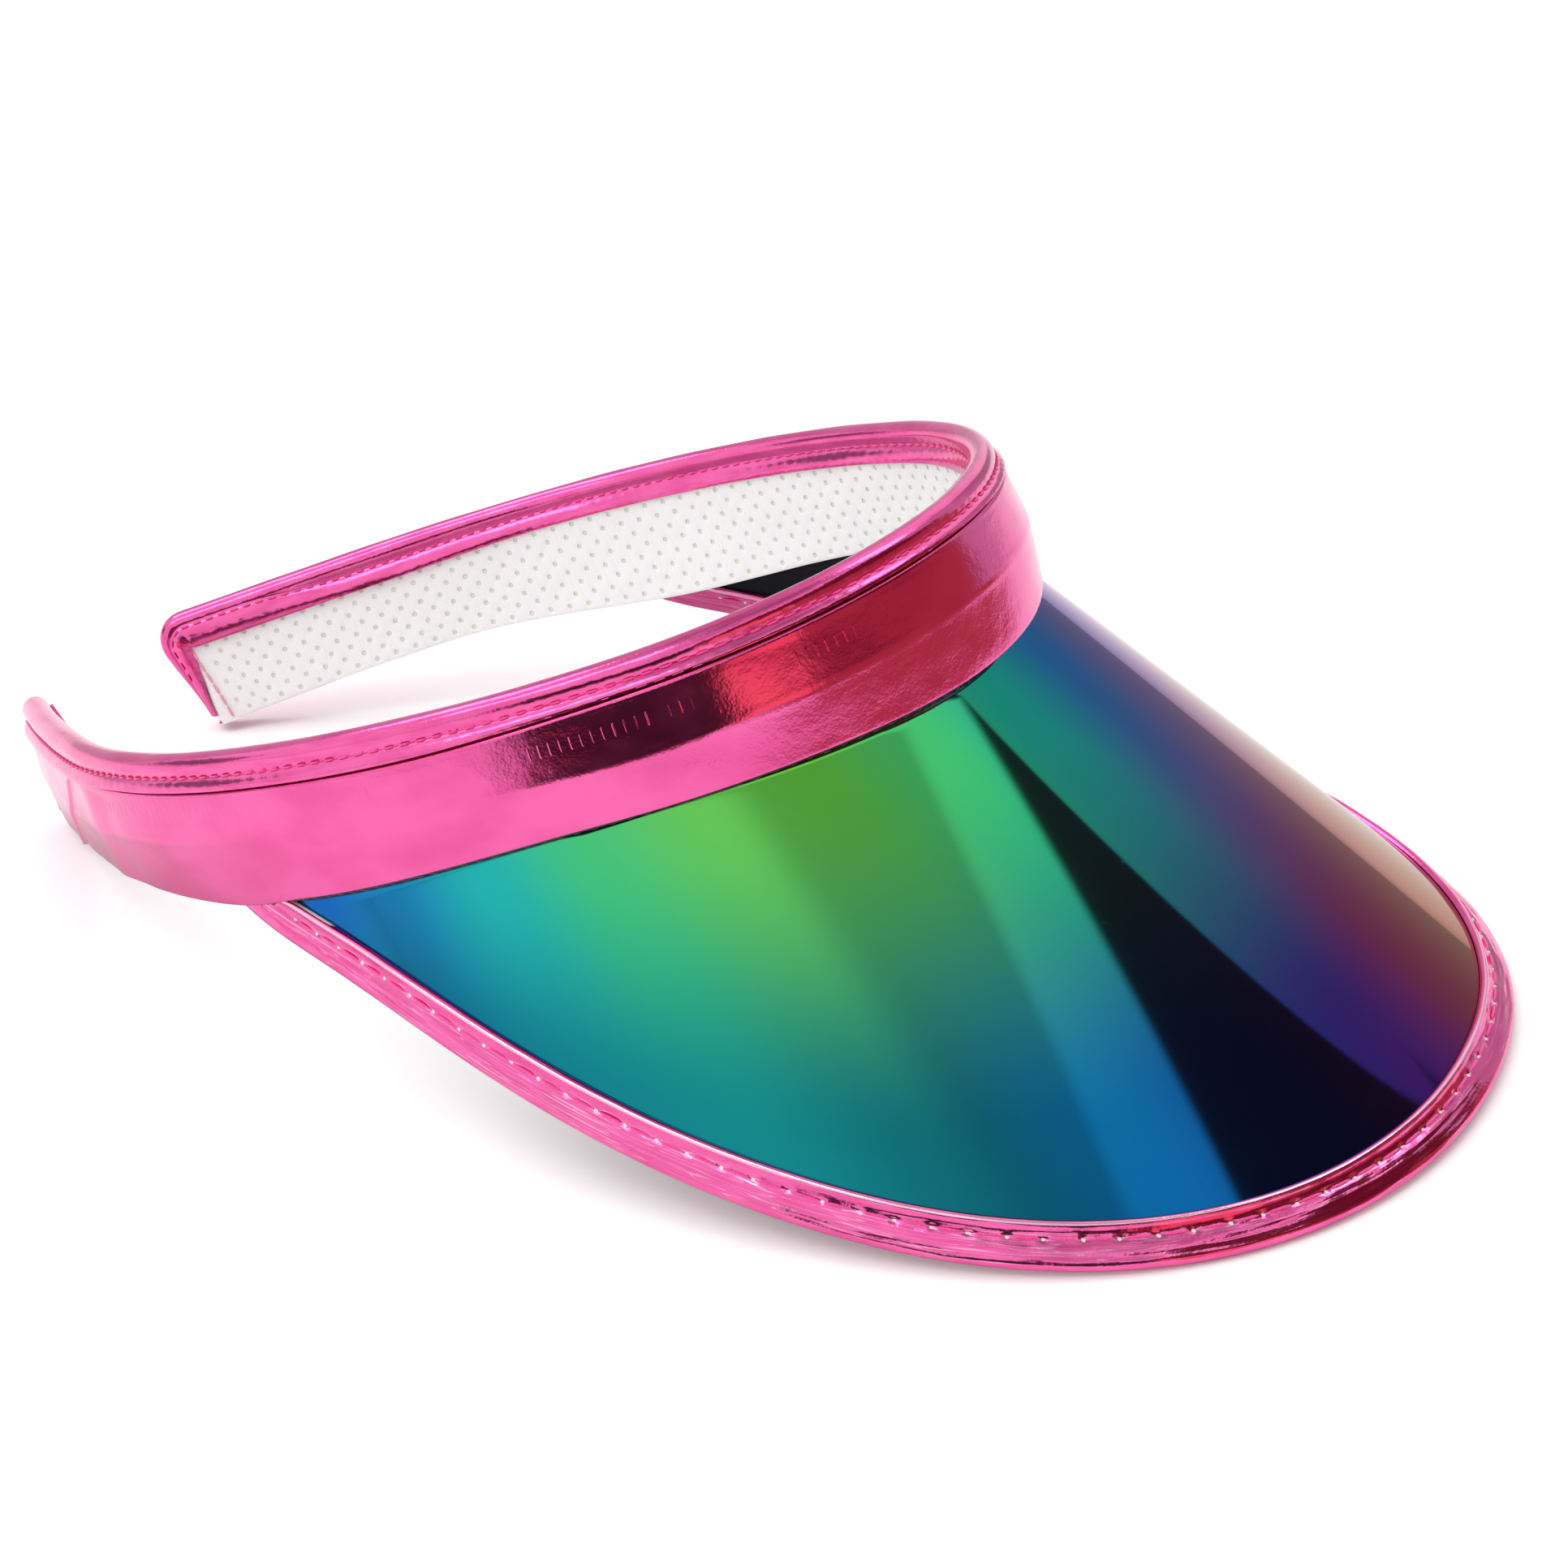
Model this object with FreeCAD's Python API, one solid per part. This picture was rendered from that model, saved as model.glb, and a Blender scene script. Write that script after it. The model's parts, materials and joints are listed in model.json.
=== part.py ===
import FreeCAD
import Part
import math
import os

# A clip-on sun visor: an open C-shaped padded headband with a mirrored plastic brim sewn
# under its front. The visor stands on a flat surface, on the brim's two side edges and on
# the rear ends of the arms. +Z is up, the brim points towards -Y, the left arm is on the
# -X side, and the origin is the centre of the footprint's box, on the surface.
#
# Everything is modelled in the band's own frame and stood up at the end. There, the band's
# top edge lies in the plane z = 0 and the front centre of its mid line is the origin. A
# place in the band is (along, depth, out): along is measured on the mid line from the front
# centre, negative on the left, depth goes down, and out goes away from the head.

Vector = FreeCAD.Vector

# ---- driving dimensions, mm and degrees ----

# the band's mid line on each side: three tangent arcs, front to rear
front_radius = 66.0
front_turn = 65.0
temple_radius = 130.0
temple_turn = 55.7
arm_radius = 535.0
arm_length = 62.0

# height and outward slope of the band's wall at five places, which are shares of its length
# from the front centre to the rear end
place_shares = (0.0, 0.3, 0.55, 0.78, 1.0)
height_front = 25.4
height_brow = 22.8
height_temple = 26.3
height_arm = 22.6
height_end = 23.7
slope_front = 0.02
slope_brow = 0.0
slope_temple = -0.08
slope_arm = -0.02
slope_end = 0.05

# layers of the band, from its mid surface outwards and inwards
strip_thickness = 1.0
outer_pad_thickness = 1.9
inner_pad_thickness = 1.8
cover_thickness = 0.55
cover_bulge = 0.7
liner_thickness = 0.65
layer_gap = 0.1
strip_margin = 1.5

# rolled binding along the band's top edge
bead_radius = 2.4
binding_thickness = 0.5
neck_half_width = 1.3
outer_lip_depth = 3.4
inner_lip_depth = 4.6
lip_gap = 0.3
thread_radius = 0.28
thread_gap = 0.05

# the arms' rear ends: sloped forward towards the lower edge, wrapped in liner fabric
end_slant = 3.7
end_slant_zone = 20.0
end_wrap_reach = 5.0
end_wrap_thickness = 0.6
end_wrap_gap = 0.15
end_stitch_inset = 3.4
end_stitch_count = 4
end_stitch_share = 0.7

# the brim: a cone through the band's lower edge, cut to a rounded outline
apex_back = 141.0
apex_up = 162.0
brim_length = 106.8
brim_half_span = 155.0
brim_roundness = 2.6
brim_taper = 2.04
brim_side_slope = 0.73
brim_side_blend = 3.0
lens_thickness = 1.0
flange_height = 7.0
flange_gap = 0.1
brim_tip_width = 2.5
brim_bend_clearance = 0.6

# folded binding on the brim's outer edge
edge_binding_width = 7.5
edge_shoulder = 0.7
edge_shoulder_inside = 0.18
edge_gap = 0.15
stitch_inset = 4.7
stitch_pitch = 5.6
stitch_length = 3.8

# dark thread along the seam between band and brim
seam_thread_radius = 0.35
seam_thread_inset = 6.0
seam_thread_corners = 8

# where the arms flex, and the cut between the front and each arm
flex_behind_brim = 2.0
flex_cut = 0.3
flex_axis_margin = 0.4

# how finely curves are followed
row_spacing = 8.0
tip_spacing = 4.0
line_spacing = 1.0
pattern_spacing = 0.5
tangent_step = 0.05
search_steps = 40
tolerance = 1e-9

# ---- worked out from the driving dimensions ----

arcs = (
    (front_radius, math.radians(front_turn)),
    (temple_radius, math.radians(temple_turn)),
    (arm_radius, arm_length / arm_radius),
)
half_length = sum(radius * turn for radius, turn in arcs)
half_strip = strip_thickness / 2
outer_pad_face = half_strip + layer_gap + outer_pad_thickness
inner_pad_face = half_strip + layer_gap + inner_pad_thickness
cover_face = outer_pad_face + layer_gap + cover_thickness
liner_face = inner_pad_face + layer_gap + liner_thickness
lip_face = cover_face + binding_thickness
inner_lip_face = liner_face + binding_thickness
cord_radius = bead_radius - binding_thickness - layer_gap
neck_depth = math.sqrt(bead_radius ** 2 - neck_half_width ** 2)
cover_top = outer_lip_depth + lip_gap
liner_top = inner_lip_depth + lip_gap
flange_face = half_strip + flange_gap
flange_middle = flange_face + lens_thickness / 2
flex_along = brim_half_span + flex_behind_brim
flex_out = lip_face + 2 * thread_radius + flex_axis_margin


# ---- the band's frame ----

def half_plan(distance):
    """Point on one side's mid line and the angle turned there."""
    x = y = turn = 0.0
    for number, (radius, angle) in enumerate(arcs):
        last = number == len(arcs) - 1
        step = distance / radius if last else min(distance / radius, angle)
        x += radius * (math.sin(turn + step) - math.sin(turn))
        y += radius * (math.cos(turn) - math.cos(turn + step))
        turn += step
        distance -= radius * step
        if distance <= tolerance:
            break
    return x, y, turn


def graded(along, values):
    """Smooth value between five, from the front centre to the rear end."""
    place = min(abs(along) / half_length, 1.0)
    for i, (start, end) in enumerate(zip(place_shares, place_shares[1:])):
        if place <= end:
            share = (place - start) / (end - start)
            ease = share * share * (3 - 2 * share)
            return values[i] + (values[i + 1] - values[i]) * ease


def band_height(along):
    return graded(along, (height_front, height_brow, height_temple, height_arm, height_end))


def wall_slope(along):
    return graded(along, (slope_front, slope_brow, slope_temple, slope_arm, slope_end))


def side_of(along):
    return -1 if along < 0 else 1


def outward(along):
    """Unit normal of the band's wall, away from the head, in plan."""
    turn = half_plan(abs(along))[2]
    return Vector(side_of(along) * math.sin(turn), -math.cos(turn), 0)


def square_to(along, depth, out):
    """Point on the upright plane square to the mid line."""
    x, y, turn = half_plan(abs(along))
    return Vector(side_of(along) * x, y, -depth) + outward(along) * out


def on_band(along, depth, out):
    """Point in the band's frame for a place in the band, below the top binding."""
    zone = max(0.0, abs(along) - half_length + end_slant_zone) / end_slant_zone
    shift = end_slant * zone * depth / band_height(along)
    lean = wall_slope(along) * max(0.0, depth - cover_top)
    return square_to(along - side_of(along) * shift, depth, out + lean)


def spread(first, last, spacing):
    """Evenly spread values from first to last, about spacing apart."""
    count = max(2, round(abs(last - first) / spacing))
    return [first + (last - first) * i / count for i in range(count + 1)]


# ---- solids ----

def smooth_edge(points):
    """Edge through the points: straight for two of them, else one smooth curve."""
    if len(points) == 2:
        return Part.makeLine(points[0], points[1])
    curve = Part.BSplineCurve()
    curve.interpolate(points)
    return curve.toShape()


def corner_faces(a, b, c, d):
    """One flat face on four corners, or two triangles where they aren't in a plane."""
    normal = (b - a).cross(d - a)
    if abs(normal.normalize().dot(c - a)) < tolerance:
        return [Part.Face(Part.makePolygon([a, b, c, d, a]))]
    return [Part.Face(Part.makePolygon([a, b, c, a])), Part.Face(Part.makePolygon([a, c, d, a]))]


def strip_solid(outer_rows, inner_rows, breaks=()):
    """Closed solid between two sheets, each given as rows of points that run along it.

    The rows are smooth between the breaks, which are counts of points from the start.
    """
    rows = list(outer_rows) + list(reversed(inner_rows))
    marks = [0] + list(breaks) + [len(rows[0]) - 1]
    faces = []
    for first, last in zip(marks, marks[1:]):
        edges = [smooth_edge(row[first:last + 1]) for row in rows]
        for edge, following in zip(edges, edges[1:] + edges[:1]):
            faces.append(Part.makeRuledSurface(edge, following))
    for end in (0, -1):
        outer = [row[end] for row in outer_rows]
        inner = [row[end] for row in inner_rows]
        for i in range(len(outer) - 1):
            faces.extend(corner_faces(outer[i], outer[i + 1], inner[i + 1], inner[i]))
    shell = Part.makeShell(faces)
    shell.sewShape()
    solid = Part.makeSolid(shell)
    if solid.Volume < 0:
        solid.reverse()
    return solid


def at(value, along):
    """A value that may be given as a function of the place along the band."""
    return value(along) if callable(value) else value


def layer(first, last, outer, inner):
    """Layer of the band; outer and inner list (depth, out) from top to bottom."""
    places = spread(first, last, row_spacing)

    def row(depth, out):
        return [on_band(along, at(depth, along), at(out, along)) for along in places]

    return strip_solid([row(*corner) for corner in outer], [row(*corner) for corner in inner])


def above_hem(offset):
    """Depth that stays a given distance above the band's lower edge."""
    return lambda along: band_height(along) - offset


def plan_path(first, last, depth, out):
    """Wire of tangent arcs that follows the band."""
    limits = [0.0]
    for radius, turn in arcs[:-1]:
        limits.append(limits[-1] + radius * turn)
    joins = sorted({-limit for limit in limits} | set(limits))
    marks = [first] + [mark for mark in joins if first + 1 < mark < last - 1] + [last]
    edges = []
    for start, end in zip(marks, marks[1:]):
        points = [square_to(along, depth, out) for along in (start, (start + end) / 2, end)]
        edges.append(Part.Arc(*points).toShape())
    return Part.Wire(edges)


def round_line(first, last, depth, out, radius):
    """Round cord or thread that follows the band."""
    path = plan_path(first, last, depth, out)
    start = path.Edges[0]
    direction = start.tangentAt(start.FirstParameter)
    section = Part.Wire(Part.makeCircle(radius, square_to(first, depth, out), direction))
    return path.makePipeShell([section], True, False)


def rod(start, end, radius):
    """Short straight stitch."""
    return Part.makeCylinder(radius, (end - start).Length, start, end - start)


# ---- band pieces, for a stretch of the band from first to last ----

def lip_corners(depth, face, wall):
    """One lip's corners as (depth, out): down its outer surface, back up the inner one."""
    neck = Vector(neck_depth, neck_half_width, 0)
    toe = Vector(depth, face, 0)
    run = (toe - neck).normalize()
    under = neck + Vector(run.y, -run.x, 0) * binding_thickness
    inner_radius = bead_radius - binding_thickness
    inner_neck = neck_half_width - binding_thickness
    throat = (math.sqrt(inner_radius ** 2 - inner_neck ** 2), inner_neck)
    return [(neck.x, neck.y), (toe.x, toe.y), (depth, wall), (under.x, under.y), throat]


def top_binding(first, last):
    """Tape rolled over the piping cord, pinched below it, with a lip on each side."""
    outside = [square_to(first, d, o) for d, o in lip_corners(outer_lip_depth, lip_face, cover_face)]
    inside = [square_to(first, d, -o)
              for d, o in lip_corners(inner_lip_depth, inner_lip_face, liner_face)]
    crown = square_to(first, -bead_radius, 0)
    inner_crown = square_to(first, binding_thickness - bead_radius, 0)
    edges = [Part.makeLine(a, b) for a, b in zip(outside, outside[1:])]
    edges.append(Part.Arc(outside[-1], inner_crown, inside[-1]).toShape())
    edges += [Part.makeLine(b, a) for a, b in zip(inside, inside[1:])][::-1]
    edges.append(Part.Arc(inside[0], crown, outside[0]).toShape())
    section = Part.Wire(edges)
    return plan_path(first, last, 0, 0).makePipeShell([section], True, False)


def piping_cord(first, last):
    return round_line(first, last, 0, 0, cord_radius)


def valley_thread(first, last, side, depth, face):
    """Thread of the binding's stitching, lying in the valley between bead and lip."""
    neck = Vector(neck_depth, neck_half_width, 0)
    run = (Vector(depth, face, 0) - neck).normalize()
    lift = Vector(-run.y, run.x, 0) * (thread_radius + thread_gap)
    spot = neck + run * (2 * thread_radius) + lift
    return round_line(first, last, spot.x, side * spot.y, thread_radius)


def binding_threads(first, last):
    outer = valley_thread(first, last, 1, outer_lip_depth, lip_face)
    inner = valley_thread(first, last, -1, inner_lip_depth, inner_lip_face)
    return Part.makeCompound([outer, inner])


def spring_strip(first, last):
    levels = (cord_radius + layer_gap, cover_top, above_hem(strip_margin))
    outer = [(depth, half_strip) for depth in levels]
    inner = [(depth, -half_strip) for depth in levels]
    return layer(first, last, outer, inner)


def bulge(along):
    """How far the padding pushes the cover out at half its height."""
    return cover_bulge * (1 - (abs(along) / half_length) ** 4)


def cover_levels(hem):
    """The cover's outer surface: (depth, out) from its top edge down to its hem."""
    middle = lambda along: (cover_top + band_height(along)) / 2
    return [(cover_top, 0), (middle, bulge), (above_hem(hem), 0)]


def cover(first, last, folded_hem):
    """Foil cover; on the arms its hem is folded in under the band."""
    inner_face = cover_face - cover_thickness

    def surface(face, hem):
        return [(depth, (lambda along, swell=swell: face + at(swell, along)))
                for depth, swell in cover_levels(hem)]

    outer = surface(cover_face, 0)
    inner = surface(inner_face, cover_thickness if folded_hem else 0)
    if folded_hem:
        outer.append((above_hem(0), -inner_pad_face))
        inner.append((above_hem(cover_thickness), -inner_pad_face))
    return layer(first, last, outer, inner)


def outer_padding(first, last, bottom_margin):
    """Foam between spring strip and cover."""
    face = half_strip + layer_gap
    bottom = above_hem(bottom_margin)
    outer = [(cover_top, outer_pad_face), (bottom, outer_pad_face)]
    inner = [(cover_top, face), (bottom, face)]
    return layer(first, last, outer, inner)


def inner_padding(first, last):
    """Foam between spring strip and liner."""
    face = half_strip + layer_gap
    bottom = above_hem(strip_margin)
    outer = [(liner_top, -face), (bottom, -face)]
    inner = [(liner_top, -inner_pad_face), (bottom, -inner_pad_face)]
    return layer(first, last, outer, inner)


def liner(first, last, folded_hem):
    """Perforated lining; at the front its hem is folded out under the band."""
    back = liner_face - liner_thickness
    outer = [(liner_top, -liner_face), (above_hem(0), -liner_face)]
    inner = [(liner_top, -back), (above_hem(liner_thickness if folded_hem else 0), -back)]
    if folded_hem:
        outer.append((above_hem(0), half_strip))
        inner.append((above_hem(liner_thickness), half_strip))
    return layer(first, last, outer, inner)


# ---- the arms' rear ends ----

def end_wrap(side):
    """Lining folded over the rear end and lapped on the inside of the arm."""
    def fold(offset):
        end = half_length + offset
        lap = -liner_face - offset
        places = [(end, cover_face), (end, lap), (half_length - end_wrap_reach, lap)]
        return [[on_band(side * along, depth, out)
                 for depth in (liner_top, band_height(half_length))] for along, out in places]

    return strip_solid(fold(end_wrap_gap + end_wrap_thickness), fold(end_wrap_gap))


def end_stitches(side):
    """Short upright row of stitches that holds the wrap on the inside of the arm."""
    out = -(liner_face + end_wrap_gap + end_wrap_thickness + thread_gap + thread_radius)
    bottom = band_height(half_length) - end_stitch_inset
    pitch = (bottom - liner_top - end_stitch_inset / 2) / end_stitch_count
    rods = []
    for i in range(end_stitch_count):
        depth = liner_top + end_stitch_inset / 2 + i * pitch
        ends = [on_band(side * (half_length - end_stitch_inset), level, out)
                for level in (depth, depth + end_stitch_share * pitch)]
        rods.append(rod(*ends, thread_radius))
    return Part.makeCompound(rods)


# ---- the brim ----

apex = Vector(0, apex_back, apex_up)


def bend_point(along):
    """Where the brim bends out of the band, in the middle of the sheet."""
    return on_band(along, band_height(along) + flange_gap, flange_middle)


def ray(along):
    """Unit vector of the cone's straight line through the bend."""
    return (bend_point(along) - apex).normalize()


def sheet_normal(along):
    """Unit normal of the cone, on its upper, outer side."""
    across = bend_point(along + tangent_step) - bend_point(along - tangent_step)
    return across.cross(ray(along)).normalize() * -1


def reach(along):
    """Length of the brim beyond the band: rounded in front and almost straight at the sides."""
    share = min(1.0, abs(along) / brim_half_span)
    rounded = brim_length * (1 - share ** brim_roundness) ** brim_taper
    straight = brim_side_slope * brim_half_span * (1 - share) * share ** 2
    return (rounded ** brim_side_blend + straight ** brim_side_blend) ** (1 / brim_side_blend)


def build_flat_pattern():
    """Angle of each cone line in the sheet laid flat, from the front centre."""
    places = spread(0.0, brim_half_span + row_spacing, pattern_spacing)
    table = [(0.0, 0.0)]
    for before, after in zip(places, places[1:]):
        table.append((after, table[-1][1] + ray(before).getAngle(ray(after))))
    return table


flat_pattern = build_flat_pattern()


def interpolate(table, key, value, wanted):
    """Straight-line lookup in a table whose key column grows."""
    wanted = min(max(wanted, table[0][key]), table[-1][key])
    low = 0
    high = len(table) - 1
    while high - low > 1:
        middle = (low + high) // 2
        if table[middle][key] <= wanted:
            low = middle
        else:
            high = middle
    share = (wanted - table[low][key]) / (table[high][key] - table[low][key])
    return table[low][value] + share * (table[high][value] - table[low][value])


def flat_point(along, extra):
    """Point of the flat sheet, a given length beyond the bend."""
    angle = side_of(along) * interpolate(flat_pattern, 0, 1, abs(along))
    radius = (bend_point(along) - apex).Length + extra
    return Vector(radius * math.sin(angle), -radius * math.cos(angle), 0)


def place_on_cone(point):
    """Place along the band and length beyond the bend, for a point of the flat sheet."""
    angle = math.atan2(point.x, -point.y)
    along = side_of(angle) * interpolate(flat_pattern, 1, 0, abs(angle))
    return along, point.Length - (bend_point(along) - apex).Length


def edge_run(along):
    """Unit tangent of the brim's outer edge in the flat sheet."""
    before, after = [flat_point(place, reach(place))
                     for place in (along - tangent_step, along + tangent_step)]
    return (after - before).normalize()


def edge_place(along, inset):
    """Place a given distance inside the brim's outer edge, square to the edge."""
    run = edge_run(along)
    inward = Vector(-run.y, run.x, 0)
    return place_on_cone(flat_point(along, reach(along)) + inward * inset)


def on_brim(along, extra, lift):
    """Point of the brim, lifted square to the sheet."""
    return bend_point(along) + ray(along) * extra + sheet_normal(along) * lift


def near_edge(along, inset, lift):
    place, extra = edge_place(along, inset)
    return on_brim(place, extra, lift)


def room(along):
    """Width of the brim there, square to its outer edge, up to the band."""
    low = 0.0
    high = 2 * edge_binding_width
    if edge_place(along, high)[1] > brim_bend_clearance:
        return high
    for i in range(search_steps):
        middle = (low + high) / 2
        if edge_place(along, middle)[1] > brim_bend_clearance:
            low = middle
        else:
            high = middle
    return low


def place_with_room(width):
    """Place along the band where the brim has narrowed to a given width."""
    low = brim_half_span / 2
    high = brim_half_span - tangent_step
    for i in range(search_steps):
        middle = (low + high) / 2
        if room(middle) > width:
            low = middle
        else:
            high = middle
    return low


def brim_lens():
    """Sheet with a flange sewn into the band and the visible cone below it."""
    half = lens_thickness / 2
    end = place_with_room(brim_tip_width + edge_shoulder + binding_thickness)
    places = spread(-end, end, row_spacing)

    def rows(side):
        flange = []
        bend = []
        edge = []
        for along in places:
            wall = outward(along)
            sheet = sheet_normal(along)
            bisector = (wall + sheet).normalize()
            flange.append(on_band(along, band_height(along) - flange_height,
                                  flange_middle + side * half))
            bend.append(bend_point(along) + bisector * (side * half / bisector.dot(wall)))
            edge.append(on_brim(along, lens_reach(along), side * half))
        return [flange, bend, edge]

    return strip_solid(rows(1), rows(-1))


def lens_reach(along):
    """Length of the lens beyond the bend: it ends inside the folded edge binding."""
    line = flat_point(along, reach(along)).normalize()
    sine = edge_run(along).cross(line).Length
    return reach(along) - (binding_thickness + edge_gap) / sine


def edge_binding():
    """Tape folded round the brim's edge; towards the band it narrows to the seam."""
    corner = place_with_room(edge_binding_width)
    tip = place_with_room(brim_tip_width)
    half = lens_thickness / 2 + edge_gap
    outer_half = half + binding_thickness
    middle = spread(-corner, corner, row_spacing)
    end = spread(corner, tip, tip_spacing)[1:]
    places = [-along for along in reversed(end)] + middle + end
    breaks = (len(end), len(end) + len(middle) - 1)

    widths = [min(edge_binding_width, room(along)) for along in places]

    def row(inset, lift):
        return [near_edge(along, min(inset, width), lift) for along, width in zip(places, widths)]

    wide = edge_binding_width
    shoulder = edge_shoulder
    outer_nose = outer_half - edge_shoulder
    inner_nose = half - edge_shoulder_inside
    wall = binding_thickness
    outer = [(wide, outer_half), (shoulder, outer_half), (0, outer_nose),
             (0, -outer_nose), (shoulder, -outer_half), (wide, -outer_half)]
    inner = [(wide, half), (shoulder, half), (wall, inner_nose),
             (wall, -inner_nose), (shoulder, -half), (wide, -half)]
    return strip_solid([row(*corner) for corner in outer],
                       [row(*corner) for corner in inner], breaks)


def edge_stitches():
    """Row of stitches on both faces of the edge binding."""
    lift = lens_thickness / 2 + edge_gap + binding_thickness + thread_gap + thread_radius
    end = place_with_room(stitch_inset + brim_tip_width)
    places = spread(0, end, line_spacing)
    line = [near_edge(along, stitch_inset, 0) for along in places]
    lengths = [(0.0, 0.0)]
    for along, before, after in zip(places[1:], line, line[1:]):
        lengths.append((along, lengths[-1][1] + (after - before).Length))
    total = lengths[-1][1]
    count = int((total - stitch_length / 2) // stitch_pitch)
    rods = []
    for i in range(-count, count + 1):
        ends = []
        for offset in (-stitch_length / 2, stitch_length / 2):
            distance = i * stitch_pitch + offset
            ends.append(side_of(distance) * interpolate(lengths, 1, 0, abs(distance)))
        for face in (1, -1):
            start, finish = [near_edge(along, stitch_inset, face * lift) for along in ends]
            rods.append(rod(start, finish, thread_radius))
    return Part.makeCompound(rods)


def seam_thread(end):
    """Dark thread in the corner between the cover's lower edge and the brim."""
    places = spread(-end, end, row_spacing)
    out = cover_face - cover_thickness / 2
    drop = seam_thread_radius + thread_gap

    def corner_row(number):
        angle = 2 * math.pi * number / seam_thread_corners
        down = drop + seam_thread_radius * math.cos(angle)
        aside = out + seam_thread_radius * math.sin(angle)
        return [on_band(along, band_height(along) + down, aside) for along in places]

    rows = [corner_row(number) for number in range(seam_thread_corners)]
    half = seam_thread_corners // 2
    return strip_solid(rows[:half], rows[half:][::-1])


# ---- the pieces ----

half_cut = flex_cut / 2
front = (-flex_along + half_cut, flex_along - half_cut)
arms = {
    "left": (-half_length, -flex_along - half_cut),
    "right": (flex_along + half_cut, half_length),
}

pieces = {
    "brim_lens": brim_lens(),
    "brim_edge_binding": edge_binding(),
    "brim_edge_stitches": edge_stitches(),
    "brim_seam_thread": seam_thread(brim_half_span - seam_thread_inset),
    "front_cover": cover(*front, folded_hem=False),
    "front_outer_padding": outer_padding(*front, flange_height + lip_gap),
    "front_spring_strip": spring_strip(*front),
    "front_inner_padding": inner_padding(*front),
    "front_liner": liner(*front, folded_hem=True),
    "front_top_binding": top_binding(*front),
    "front_piping_cord": piping_cord(*front),
    "front_binding_threads": binding_threads(*front),
}
for name, stretch in arms.items():
    side = side_of(stretch[0])
    pieces[name + "_arm_cover"] = cover(*stretch, folded_hem=True)
    pieces[name + "_arm_outer_padding"] = outer_padding(*stretch, strip_margin)
    pieces[name + "_arm_spring_strip"] = spring_strip(*stretch)
    pieces[name + "_arm_inner_padding"] = inner_padding(*stretch)
    pieces[name + "_arm_liner"] = liner(*stretch, folded_hem=False)
    pieces[name + "_arm_top_binding"] = top_binding(*stretch)
    pieces[name + "_arm_piping_cord"] = piping_cord(*stretch)
    pieces[name + "_arm_binding_threads"] = binding_threads(*stretch)
    pieces[name + "_arm_end_wrap"] = end_wrap(side)
    pieces[name + "_arm_end_stitches"] = end_stitches(side)

# ---- standing the visor up ----

# it rests on the arms' lower rear corners and on the lowest places of the brim's edge
heel = on_band(half_length, band_height(half_length), cover_face)


def tilt_to(along):
    touch = near_edge(along, 0, 0)
    return math.atan2(heel.z - touch.z, heel.y - touch.y)


tilt = max(tilt_to(along) for along in spread(0, brim_half_span - row_spacing, line_spacing))
turned = FreeCAD.Placement(Vector(), FreeCAD.Rotation(Vector(1, 0, 0), -math.degrees(tilt)))
for shape in pieces.values():
    shape.Placement = turned.multiply(shape.Placement)
box = Part.makeCompound(list(pieces.values())).optimalBoundingBox(True, False)
lift = Vector(0, -(box.YMin + box.YMax) / 2, -box.ZMin)
for shape in pieces.values():
    shape.translate(lift)


def stood(point):
    return turned.multVec(point) + lift


os.makedirs("parts", exist_ok=True)
for name, shape in pieces.items():
    shape.exportStep("parts/" + name + ".step")

for name, shape in pieces.items():
    state = "valid" if shape.isValid() and all(solid.isClosed() for solid in shape.Solids) else "BAD"
    print(name, state, "solids", len(shape.Solids), "volume %.1f" % shape.Volume)
print("box %.2f x %.2f x %.2f" % (box.XLength, box.YLength, box.ZLength))
print("tilt %.3f degrees" % math.degrees(tilt))
print("front centre of the top edge", stood(on_band(0, 0, 0)))
for name, side in (("left", -1), ("right", 1)):
    print(name, "flex axis at", stood(on_band(side * flex_along, 0, flex_out)))
print("flex axis direction", turned.Rotation.multVec(Vector(0, 0, 1)))
print("heel", stood(heel))
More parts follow.
